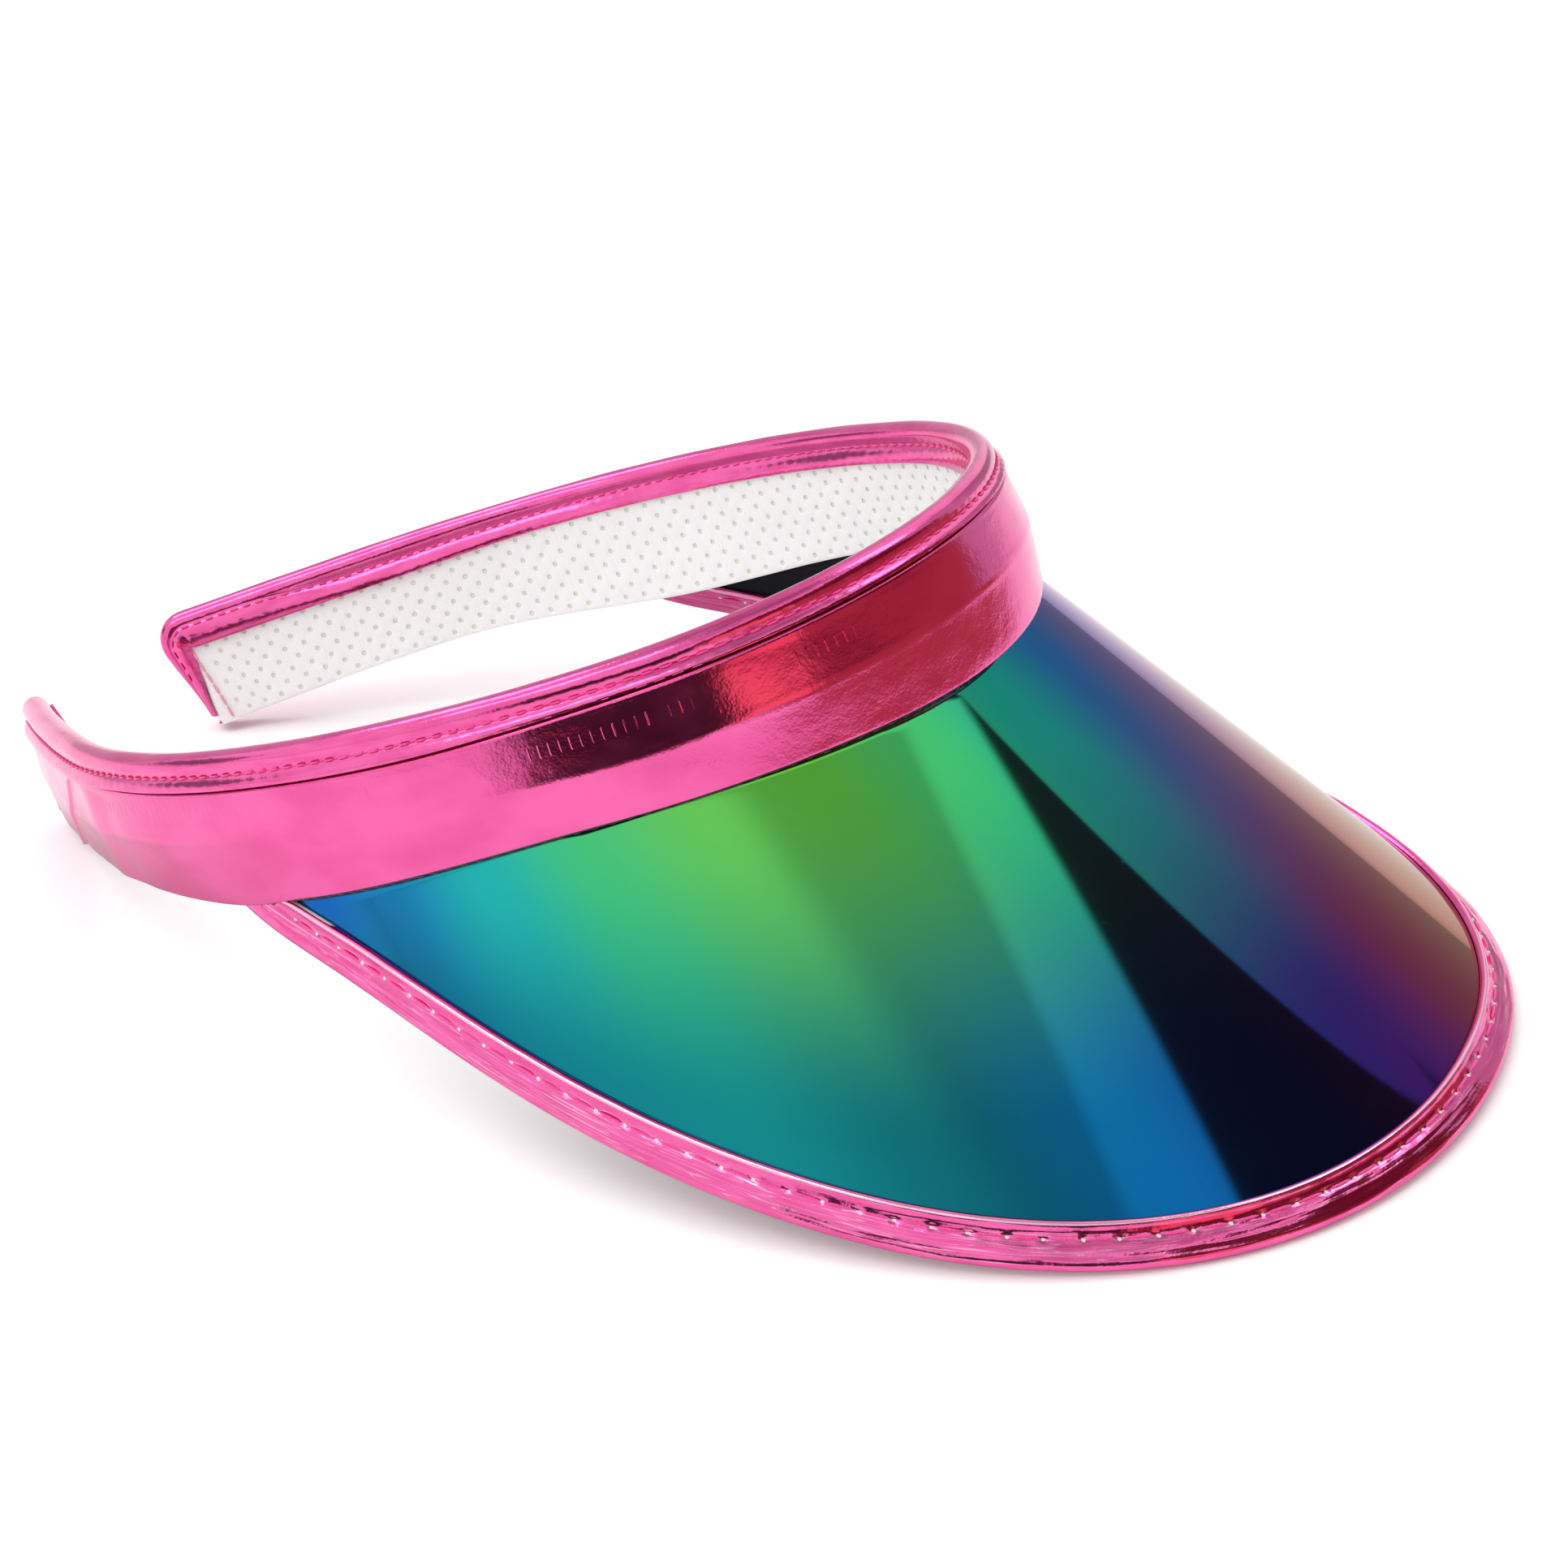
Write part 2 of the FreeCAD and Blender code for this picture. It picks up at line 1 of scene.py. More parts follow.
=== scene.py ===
import bmesh
import bpy
import json
import math
import numpy as np
from mathutils import Matrix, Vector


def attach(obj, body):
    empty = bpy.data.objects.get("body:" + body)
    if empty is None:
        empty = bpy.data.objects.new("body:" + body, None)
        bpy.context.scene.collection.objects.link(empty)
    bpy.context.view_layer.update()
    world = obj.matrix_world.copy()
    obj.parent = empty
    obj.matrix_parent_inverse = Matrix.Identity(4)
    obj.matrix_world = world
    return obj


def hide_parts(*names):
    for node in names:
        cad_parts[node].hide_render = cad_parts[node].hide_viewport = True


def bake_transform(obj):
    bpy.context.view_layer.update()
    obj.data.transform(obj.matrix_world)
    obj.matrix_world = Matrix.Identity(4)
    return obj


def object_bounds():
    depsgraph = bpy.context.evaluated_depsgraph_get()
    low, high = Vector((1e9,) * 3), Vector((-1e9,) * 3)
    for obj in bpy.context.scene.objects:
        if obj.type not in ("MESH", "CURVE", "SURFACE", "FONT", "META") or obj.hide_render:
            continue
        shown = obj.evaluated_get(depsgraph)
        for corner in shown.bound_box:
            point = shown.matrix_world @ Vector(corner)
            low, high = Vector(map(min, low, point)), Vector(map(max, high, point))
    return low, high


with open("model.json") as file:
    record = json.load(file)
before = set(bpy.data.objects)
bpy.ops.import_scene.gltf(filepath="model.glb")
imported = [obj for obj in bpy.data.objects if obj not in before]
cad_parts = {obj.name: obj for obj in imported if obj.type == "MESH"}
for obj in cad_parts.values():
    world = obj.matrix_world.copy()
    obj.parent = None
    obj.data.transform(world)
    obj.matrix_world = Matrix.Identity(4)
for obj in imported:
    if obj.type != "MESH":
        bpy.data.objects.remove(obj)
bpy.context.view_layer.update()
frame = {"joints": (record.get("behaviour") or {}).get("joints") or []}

# Lengths are in millimetres in the band's own frame, as in the part's source, and turn into
# metres in the model's frame when a mesh is made. In the band's frame the top edge lies in the
# plane z = 0, the front centre of the mid line is the origin and the brim points towards -Y.
# A place in the band is (along, depth, out): along the mid line from the front centre,
# negative on the left, down from the top edge, and away from the head.

# ---- driving dimensions, mm ----

ARCS = (
    (66.0, math.radians(65.0)),
    (130.0, math.radians(55.7)),
    (535.0, 62.0 / 535.0),
)
HALF_LENGTH = sum(radius * turn for radius, turn in ARCS)
PLACE_SHARES = np.array((0.0, 0.3, 0.55, 0.78, 1.0))
HEIGHTS = np.array((25.4, 22.8, 26.3, 22.6, 23.7))
SLOPES = np.array((0.02, 0.0, -0.08, -0.02, 0.05))
LEAN_DEPTH = 3.7
END_SLANT = 3.7
END_SLANT_ZONE = 20.0
COVER_FACE = 3.15
LINER_FACE = 3.15
BEAD_RADIUS = 2.4
CORD_RADIUS = 1.75

APEX = np.array((0.0, 141.0, 162.0))
BRIM_LENGTH = 106.8
BRIM_HALF_SPAN = 155.0
BRIM_ROUNDNESS = 2.6
BRIM_TAPER = 2.04
BRIM_SIDE_SLOPE = 0.73
BRIM_SIDE_BLEND = 3.0
LENS_HALF = 0.5
LENS_INSET = 0.9
FLANGE_MIDDLE = 1.1
FLANGE_HEIGHT = 7.0
BEND_BELOW = 0.1
TAPE_WIDTH = 7.5
TAPE_TIP_WIDTH = 2.5
TAPE_END = BRIM_HALF_SPAN - 0.6
TAPE_STITCH_INSET = 4.7
TAPE_STITCH_PITCH = 5.6
TAPE_STITCH_LIFT = 1.11
TAPE_BACK = 0.58
BEND_CLEARANCE = 0.6
BEND_REACH = 1.3
GATHER_START = -1.6
GATHER_SHARE = 0.1

FLEX_ALONG = 157.0
FLEX_OUT = 4.61
BAND_STITCH_PITCH = 2.9

# stretches of the band over which the lip widens and the brim comes to its end
FRONT_ZONE = (62.0, 112.0)
BRIM_LEAVES = (136.0, 152.0)

# meshing: sides of a stitch, the step that slopes are measured over, and what is welded
STITCH_SIDES = 6
STEP = 0.05
WELD_METRES = 0.00002
TAU = 2 * math.pi


# ---- the band's frame, for arrays of places ----

def smooth(value, start, end):
    """Smooth step from 0 at start to 1 at end."""
    share = np.clip((value - start) / (end - start), 0.0, 1.0)
    return share * share * (3 - 2 * share)


def unit(vectors):
    return vectors / np.linalg.norm(vectors, axis=-1, keepdims=True)


def even(*values):
    """The values as arrays of one shape."""
    return [np.array(value, float) for value in np.broadcast_arrays(*values)]


def stations(start, end, count):
    """Even places along a piece, one in each row."""
    return np.linspace(start, end, count)[:, None]


def spread(start, end, count):
    """Even values round a section, in one row."""
    return np.linspace(start, end, count)[None, :]


def circle(sides):
    """Angles round a circle."""
    return np.arange(sides) * TAU / sides


def join(*parts):
    """Parts of a section, side by side."""
    return np.concatenate(parts, 1)


def half_plan(distance):
    """Points of one side's mid line and the angle turned there."""
    x, y, turn = np.zeros((3, *np.shape(distance)))
    left = distance
    for number, (radius, angle) in enumerate(ARCS):
        last = number == len(ARCS) - 1
        step = left / radius if last else np.minimum(left / radius, angle)
        x = x + radius * (np.sin(turn + step) - np.sin(turn))
        y = y + radius * (np.cos(turn) - np.cos(turn + step))
        turn = turn + step
        left = left - radius * step
    return x, y, turn


def graded(along, values):
    """Smooth value between five, from the front centre to the rear end."""
    place = np.minimum(np.abs(along) / HALF_LENGTH, 1.0)
    number = np.clip(np.searchsorted(PLACE_SHARES, place, side="right") - 1, 0, len(values) - 2)
    ease = smooth(place, PLACE_SHARES[number], PLACE_SHARES[number + 1])
    return values[number] + (values[number + 1] - values[number]) * ease


def band_height(along):
    return graded(along, HEIGHTS)


def front_share(along):
    """1 round the front and 0 along the arms."""
    return 1 - smooth(np.abs(along), *FRONT_ZONE)


def side_of(along):
    return np.where(along < 0, -1.0, 1.0)


def square_to(along, depth, out):
    """Points on the upright plane square to the mid line."""
    along, depth, out = even(along, depth, out)
    x, y, turn = half_plan(np.abs(along))
    return np.stack([side_of(along) * (x + np.sin(turn) * out), y - np.cos(turn) * out, -depth], -1)


def on_band(along, depth, out):
    """Points in the band's frame for places in the band."""
    along, depth, out = even(along, depth, out)
    zone = np.maximum(0.0, np.abs(along) - HALF_LENGTH + END_SLANT_ZONE) / END_SLANT_ZONE
    shift = END_SLANT * zone * depth / band_height(along)
    lean = graded(along, SLOPES) * np.maximum(0.0, depth - LEAN_DEPTH)
    return square_to(along - side_of(along) * shift, depth, out + lean)


# ---- the brim's cone ----

def bend_point(along):
    return on_band(along, band_height(along) + BEND_BELOW, FLANGE_MIDDLE)


def ray(along):
    return unit(bend_point(along) - APEX)


def sheet_normal(along):
    across = bend_point(along + STEP) - bend_point(along - STEP)
    return -unit(np.cross(across, ray(along)))


def reach(along):
    """Length of the brim beyond the band: rounded in front and almost straight at the sides."""
    share = np.minimum(1.0, np.abs(along) / BRIM_HALF_SPAN)
    rounded = BRIM_LENGTH * (1 - share ** BRIM_ROUNDNESS) ** BRIM_TAPER
    straight = BRIM_SIDE_SLOPE * BRIM_HALF_SPAN * (1 - share) * share ** 2
    return (rounded ** BRIM_SIDE_BLEND + straight ** BRIM_SIDE_BLEND) ** (1 / BRIM_SIDE_BLEND)


def on_brim(along, extra, lift):
    """Points of the brim, beyond the bend and lifted square to the sheet."""
    along, extra, lift = even(along, extra, lift)
    return bend_point(along) + ray(along) * extra[..., None] + sheet_normal(along) * lift[..., None]


PATTERN_ALONG = np.linspace(0.0, BRIM_HALF_SPAN + 14.0, 700)
PATTERN_RAYS = ray(PATTERN_ALONG)
PATTERN_STEPS = np.linalg.norm(np.diff(PATTERN_RAYS, axis=0), axis=1)
PATTERN_ANGLE = np.concatenate([[0.0], np.cumsum(2 * np.arcsin(PATTERN_STEPS / 2))])


def apex_distance(along):
    return np.linalg.norm(bend_point(along) - APEX, axis=-1)


def flat_point(along, extra):
    """Points of the sheet laid flat."""
    angle = side_of(along) * np.interp(np.abs(along), PATTERN_ALONG, PATTERN_ANGLE)
    radius = apex_distance(along) + extra
    return np.stack([radius * np.sin(angle), -radius * np.cos(angle)], -1)


def edge_point(along):
    return flat_point(along, reach(along))


def edge_place(along, inset):
    """Places a given distance inside the brim's outer edge, square to the edge."""
    along, inset = even(along, inset)
    run = unit(edge_point(along + STEP) - edge_point(along - STEP))
    inward = np.stack([-run[..., 1], run[..., 0]], -1)
    point = edge_point(along) + inward * inset[..., None]
    angle = np.arctan2(point[..., 0], -point[..., 1])
    place = side_of(angle) * np.interp(np.abs(angle), PATTERN_ANGLE, PATTERN_ALONG)
    return place, np.linalg.norm(point, axis=-1) - apex_distance(place)


def sheet_point(along, extra, lift):
    """Points of the sheet: the cone beyond the bend, a rounded bend and the flange before it."""
    along, extra, lift = even(along, extra, lift)

    def on_wall(value):
        return on_band(along, band_height(along) + BEND_BELOW + value, FLANGE_MIDDLE + lift)

    weight = np.clip((extra + BEND_REACH) / (2 * BEND_REACH), 0.0, 1.0)[..., None]
    curve = (1 - weight) ** 2 * on_wall(-BEND_REACH)
    curve = curve + 2 * weight * (1 - weight) * on_brim(along, 0.0, lift)
    curve = curve + weight ** 2 * on_brim(along, BEND_REACH, lift)
    straight = np.where(extra[..., None] < 0, on_wall(extra), on_brim(along, extra, lift))
    return np.where(np.abs(extra)[..., None] < BEND_REACH, curve, straight)


def near_edge(along, inset, lift):
    """Points near the brim's edge; what would lie on the flange is gathered under the cover."""
    place, extra = edge_place(along, inset)
    gathered = GATHER_START + GATHER_SHARE * (extra - GATHER_START)
    return sheet_point(place, np.where(extra < GATHER_START, gathered, extra), lift)


def room(along):
    """Width of the brim square to its outer edge, up to the band, or twice the tape's width."""
    low = np.zeros_like(along)
    high = np.full_like(along, 2 * TAPE_WIDTH)
    for halving in range(30):
        middle = (low + high) / 2
        fits = edge_place(along, middle)[1] > BEND_CLEARANCE
        low = np.where(fits, middle, low)
        high = np.where(fits, high, middle)
    return low


def place_with_room(width):
    places = np.linspace(BRIM_HALF_SPAN / 2, BRIM_HALF_SPAN - 0.2, 400)
    return float(np.interp(-width, -room(places), places))


# ---- from the band's frame to the model's frame ----

HINGE = frame["joints"][0]
TILT = math.atan2(HINGE["axis"][1], HINGE["axis"][2])
TURN = np.array(Matrix.Rotation(-TILT, 3, "X"))
LIFT = np.array(HINGE["pos_m"]) * 1000 - TURN @ square_to(-FLEX_ALONG, 0.0, FLEX_OUT)


def metres(points):
    return (points @ TURN.T + LIFT) / 1000


# ---- relief ----

def waves(seed, u, v, count=6):
    """Smooth random relief of about 1, with waves about 1 long in u and v."""
    rng = np.random.default_rng(seed)
    total = 0.0
    for i in range(count):
        angle, phase = rng.uniform(0, TAU, 2)
        pace = TAU * rng.uniform(0.7, 1.4)
        total = total + np.cos(pace * (u * math.cos(angle) + v * math.sin(angle)) + phase)
    return total / math.sqrt(count)


def bump_at(value, centre, width):
    return np.exp(-((value - centre) / width) ** 2)


# ---- meshes ----

def add_object(name, data):
    made = bpy.data.objects.new(name, data)
    bpy.context.scene.collection.objects.link(made)
    return made


def finish_piece(name, points, faces, places, material, marks=None, sharp=38.0, weld=False):
    """Mesh object from points in the band's frame, with its places kept for the materials."""
    mesh = bpy.data.meshes.new(name)
    mesh.from_pydata(metres(points.reshape(-1, 3)).tolist(), [], faces)
    if marks is None:
        marks = np.zeros(len(mesh.vertices))
    kept = (("place", "FLOAT_VECTOR", "vector", places), ("mark", "FLOAT", "value", marks))
    for label, kind, field, values in kept:
        attribute = mesh.attributes.new(label, kind, "POINT")
        attribute.data.foreach_set(field, values.reshape(-1).astype(np.float32))
    shell = bmesh.new()
    shell.from_mesh(mesh)
    if weld:
        bmesh.ops.remove_doubles(shell, verts=shell.verts, dist=WELD_METRES)
    bmesh.ops.recalc_face_normals(shell, faces=shell.faces)
    for face in shell.faces:
        face.smooth = True
    shell.to_mesh(mesh)
    shell.free()
    mesh.set_sharp_from_angle(angle=math.radians(sharp))
    mesh.materials.append(material)
    return add_object(name, mesh)


def quads(rows, count, closed=True, start=0):
    """Faces of a grid of rows, each a ring of count points or, if not closed, a line."""
    row = np.arange(rows - 1)[:, None] * count
    here = np.arange(count if closed else count - 1)[None, :]
    following = (here + 1) % count
    corners = [row + here, row + following, row + count + following, row + count + here]
    return (np.stack(np.broadcast_arrays(*corners), -1).reshape(-1, 4) + start).tolist()


def ring_faces(rows, count):
    """Faces of a closed loft with flat ends."""
    last = (rows - 1) * count
    return quads(rows, count) + [list(range(count))] + [[last + i for i in range(count)]]


def place_stack(*values):
    return np.stack(np.broadcast_arrays(*values), -1).astype(float)


def loft(name, points, places, material, marks=None, sharp=38.0):
    rows, count = points.shape[:2]
    return finish_piece(name, points, ring_faces(rows, count), places, material, marks, sharp)


def stitches(name, centres, route, material, half_length, width, rise):
    """Row of short thread stitches; route(distance, across, lift) gives points of the row."""
    share = stations(-1.0, 1.0, 7)
    angle = circle(STITCH_SIDES)
    thick = width * np.sqrt(np.maximum(0.12, 1 - share ** 6))
    distance = centres[:, None, None] + share * half_length
    lift = rise * (0.65 - share ** 4) + thick * np.sin(angle)
    distance, across, lift = even(distance, thick * np.cos(angle), lift)
    faces = []
    for number in range(len(centres)):
        start = number * share.size * STITCH_SIDES
        faces += [[i + start for i in face] for face in ring_faces(share.size, STITCH_SIDES)]
    points = route(distance, across, lift)
    return finish_piece(name, points, faces, place_stack(distance, across, lift), material)


# ---- materials ----

class Nodes:
    """The nodes of a new material or world, with short calls for the ones used here."""

    def __init__(self, name, world=False):
        self.owner = (bpy.data.worlds if world else bpy.data.materials).new(name)
        self.owner.use_nodes = True
        self.tree = self.owner.node_tree
        self.tree.nodes.clear()
        self.output = self.tree.nodes.new("ShaderNodeOutputWorld" if world else "ShaderNodeOutputMaterial")

    def set(self, socket, value):
        if isinstance(value, bpy.types.NodeSocket):
            self.tree.links.new(value, socket)
        elif isinstance(value, tuple) and socket.type == "RGBA":
            socket.default_value = (*value, 1.0)
        else:
            socket.default_value = value

    def node(self, kind, inputs=(), **settings):
        node = self.tree.nodes.new(kind)
        for key, value in settings.items():
            setattr(node, key, value)
        for key, value in dict(inputs).items():
            self.set(node.inputs[key], value)
        return node

    def math(self, operation, result, *others):
        """The operation on one value, or on several, one after another."""
        for other in others or (0.0,):
            result = self.node("ShaderNodeMath", {0: result, 1: other}, operation=operation).outputs[0]
        return result

    def times(self, *values):
        return self.math("MULTIPLY", *values)

    def most(self, *values):
        return self.math("MAXIMUM", *values)

    def vector(self, operation, a, b=(0.0, 0.0, 0.0), output="Value"):
        return self.node("ShaderNodeVectorMath", {0: a, 1: b}, operation=operation).outputs[output]

    def azimuth(self, right, back):
        """Angle in radians from the front towards the right, seen from above."""
        return self.math("ARCTAN2", right, self.times(back, -1.0))

    def place(self, scale=(1.0, 1.0, 1.0)):
        """The piece's own coordinates in millimetres, scaled."""
        source = self.node("ShaderNodeAttribute", attribute_name="place").outputs["Vector"]
        return self.vector("MULTIPLY", source, scale, "Vector")

    def split(self, vector):
        return self.node("ShaderNodeSeparateXYZ", {0: vector}).outputs

    def mark(self):
        return self.node("ShaderNodeAttribute", attribute_name="mark").outputs["Fac"]

    def noise(self, scale, detail=2.0, roughness=0.5):
        """Noise with features 1/scale long, where scale is per millimetre in each direction."""
        values = {"Vector": self.place(scale), "Scale": 1.0, "Detail": detail, "Roughness": roughness}
        return self.node("ShaderNodeTexNoise", values).outputs[0]

    def between(self, value, low, high, start=0.0, end=1.0):
        """Smooth value from start, at low, to end, at high."""
        values = {0: value, 1: low, 2: high, 3: start, 4: end}
        return self.node("ShaderNodeMapRange", values, interpolation_type="SMOOTHSTEP").outputs[0]

    def span(self, value, start, end, ease):
        """1 between start and end, falling to 0 at both, and 0 outside."""
        rising = self.between(value, start, start + ease)
        return self.times(rising, self.between(value, end - ease, end, 1.0, 0.0))

    def apart(self, value, centre):
        return self.math("ABSOLUTE", self.math("SUBTRACT", value, centre))

    def mix(self, share, a, b, blend="MIX"):
        node = self.node("ShaderNodeMix", {0: share}, data_type="RGBA", blend_type=blend)
        self.set(node.inputs[6], a)
        self.set(node.inputs[7], b)
        return node.outputs[2]

    def ramp(self, value, stops):
        node = self.node("ShaderNodeValToRGB", {0: value})
        node.color_ramp.interpolation = "EASE"
        elements = node.color_ramp.elements
        while len(elements) < len(stops):
            elements.new(0.5)
        for element, (position, colour) in zip(elements, stops):
            element.position = position
            element.color = (*colour, 1.0)
        return node.outputs[0]

    def relief(self, *layers):
        """Normals for layers of relief, each a pattern and its height in metres."""
        values = {"Strength": 1.0}
        for pattern, height in layers:
            values.update({"Height": pattern, "Distance": height})
            values["Normal"] = self.node("ShaderNodeBump", values).outputs[0]
        return values["Normal"]

    def principled(self, **inputs):
        values = {key.replace("_", " ").title().replace("Ior", "IOR"): inputs[key] for key in inputs}
        return self.node("ShaderNodeBsdfPrincipled", values).outputs[0]

    def mix_shaders(self, share, a, b):
        return self.node("ShaderNodeMixShader", {0: share, 1: a, 2: b}).outputs[0]

    def done(self, shader):
        self.tree.links.new(shader, self.output.inputs["Surface"])
        return self.owner


FOIL_LIGHT = (0.86, 0.14, 0.40)
FOIL_DEEP = (0.78, 0.10, 0.33)
# pale pink of the tape's painted highlight and painted glints
FOIL_PAINTED_HIGHLIGHT = (1.0, 0.62, 0.80)
SCUFF = (0.80, 0.76, 0.70)
TICK_PITCH = 1.7


def foil_tones(nodes, scale):
    patches = nodes.between(nodes.noise(scale, 3.0), 0.35, 0.7)
    return nodes.mix(patches, FOIL_LIGHT, FOIL_DEEP)


def foil_material():
    """Glossy metallic foil on fabric, with a fine grain.

    The fold under it has left rows of short upright creases in places.
    """
    nodes = Nodes("foil")
    along, depth = nodes.split(nodes.place())[:2]
    along = nodes.math("ABSOLUTE", along)
    grain = nodes.noise((2.2, 2.2, 2.2))
    leather = nodes.noise((0.6, 0.6, 0.6))
    ticks = nodes.math("COSINE", nodes.times(along, TAU / TICK_PITCH))
    ticks = nodes.math("POWER", nodes.most(ticks, 0.0), 9.0)
    places = nodes.most(nodes.span(along, 100.0, 192.0, 15.0), nodes.span(along, 56.0, 86.0, 5.0),
                        nodes.span(along, 28.0, 44.0, 5.0))
    upper = nodes.times(nodes.span(depth, 3.9, 6.0, 0.5), nodes.between(along, 90.0, 105.0, 0.0, 0.5))
    rows = nodes.most(upper, nodes.span(depth, 6.2, 8.6, 0.5))
    uneven = nodes.between(nodes.noise((0.25, 0.0, 0.0), 1.0), 0.3, 0.6, 0.3, 1.0)
    ticks = nodes.times(ticks, places, rows, uneven)
    return nodes.done(nodes.principled(
        base_color=foil_tones(nodes, (0.05, 0.09, 0.0)), metallic=1.0,
        roughness=nodes.between(nodes.noise((0.12, 0.2, 0.1)), 0.3, 0.75, 0.11, 0.18),
        normal=nodes.relief((leather, 0.00004), (grain, 0.00002), (ticks, 0.00005))))


def tape_material(name, crease, strength, gloss, ridge=None):
    """Foil tape with creases along it and white scuffs where the mark says.

    A tape with a ridge gets painted glints, pale streaks on its flat part, and a painted highlight, a pale
    line along its ridge.
    """
    nodes = Nodes(name)
    colour = foil_tones(nodes, (0.12, 0.6, 0.3))
    lines = nodes.noise(crease, 1.5)
    grain = nodes.noise((1.6, 1.6, 1.6), 1.0)
    if ridge is not None:
        inset = nodes.split(nodes.place())[1]
        # painted highlight: a pale line along the ridge; painted glints: pale streaks on the flat part of
        # the tape
        painted_highlight = nodes.between(nodes.apart(inset, ridge), 0.08, 0.42, 0.85, 0.0)
        for scale in ((0.03, 1.3, 0.5), (0.05, 1.8, 0.7)):
            painted_glint = nodes.between(nodes.apart(nodes.noise(scale, 1.0), 0.5), 0.003, 0.016, 0.45, 0.0)
            flat = nodes.times(nodes.between(inset, 5.2, 5.6, 1.0, 0.0), nodes.between(inset, 0.5, 0.9))
            painted_highlight = nodes.most(painted_highlight, nodes.times(painted_glint, flat))
        colour = nodes.mix(painted_highlight, colour, FOIL_PAINTED_HIGHLIGHT)
    scuff = nodes.between(nodes.mark(), 0.35, 0.6)
    return nodes.done(nodes.principled(
        base_color=nodes.mix(scuff, colour, SCUFF), metallic=nodes.math("SUBTRACT", 1.0, scuff),
        roughness=nodes.between(scuff, 0.0, 1.0, gloss, 0.7),
        normal=nodes.relief((lines, strength), (grain, 0.00002))))


def thread_material(name, colour, dark):
    nodes = Nodes(name)
    twist = nodes.node("ShaderNodeTexWave", {
        "Vector": nodes.place((1.0, 1.6, 1.6)), "Scale": 0.9, "Distortion": 0.6}).outputs["Fac"]
    return nodes.done(nodes.principled(
        base_color=nodes.mix(twist, dark, colour), roughness=0.5, sheen_weight=0.3,
        normal=nodes.relief((twist, 0.00006))))


def liner_material():
    """White knitted lining; the mark is 1 inside the punched holes."""
    nodes = Nodes("liner")
    knit = nodes.node("ShaderNodeTexWave", {
        "Vector": nodes.place(), "Scale": 0.55, "Distortion": 1.5, "Detail": 1.0}).outputs["Fac"]
    fibre = nodes.noise((3.0, 3.0, 3.0), 3.0)
    patches = nodes.noise((0.06, 0.1, 0.1))
    white = nodes.mix(patches, (0.94, 0.94, 0.94), (0.965, 0.965, 0.96))
    colour = nodes.mix(nodes.between(nodes.mark(), 0.2, 0.8), white, (0.78, 0.80, 0.71))
    return nodes.done(nodes.principled(
        base_color=colour, roughness=0.85, sheen_weight=0.15,
        normal=nodes.relief((knit, 0.00003), (fibre, 0.00004))))


def foam_material():
    nodes = Nodes("foam")
    cells = nodes.node("ShaderNodeTexVoronoi", {
        "Vector": nodes.place(), "Scale": 1.6}).outputs["Distance"]
    colour = nodes.mix(cells, (0.70, 0.68, 0.60), (0.88, 0.86, 0.80))
    return nodes.done(nodes.principled(
        base_color=colour, roughness=0.95, normal=nodes.relief((cells, 0.0002))))


def plastic_material(name, colour, other):
    nodes = Nodes(name)
    streaks = nodes.noise((0.05, 1.2, 1.2), 3.0)
    return nodes.done(nodes.principled(
        base_color=nodes.mix(streaks, colour, other),
        roughness=nodes.between(streaks, 0.3, 0.7, 0.35, 0.5),
        normal=nodes.relief((streaks, 0.00002))))


# painted reflection colours of the mirror: the film's colours as they show from one direction, fixed as a
# tint from left to right, by place along the band in mm
LENS_RANGE = 145.0
PAINTED_LENS_REFLECTION_NEAR_BAND = (
    (-135.0, (0.014, 0.157, 0.647)), (-117.0, (0.021, 0.29, 0.68)), (-99.0, (0.027, 0.66, 0.64)),
    (-81.0, (0.076, 0.80, 0.289)), (-63.0, (0.149, 0.83, 0.149)), (-45.0, (0.131, 0.745, 0.075)),
    (-27.0, (0.062, 0.76, 0.222)), (-9.0, (0.02, 0.56, 0.42)), (9.0, (0.02, 0.214, 0.624)),
    (27.0, (0.09, 0.13, 0.47)), (50.0, (0.26, 0.08, 0.42)), (72.0, (0.56, 0.10, 0.30)),
    (96.0, (0.30, 0.10, 0.48)), (135.0, (0.014, 0.157, 0.647)))
PAINTED_LENS_REFLECTION_NEAR_EDGE = (
    (-135.0, (0.01, 0.20, 0.40)), (-81.0, (0.010, 0.34, 0.34)), (-63.0, (0.006, 0.178, 0.213)),
    (-45.0, (0.004, 0.177, 0.487)), (-27.0, (0.01, 0.05, 0.35)), (-9.0, (0.07, 0.010, 0.229)),
    (9.0, (0.26, 0.012, 0.045)), (27.0, (0.42, 0.12, 0.11)), (54.0, (0.30, 0.05, 0.20)),
    (90.0, (0.04, 0.08, 0.36)), (135.0, (0.01, 0.20, 0.40)))


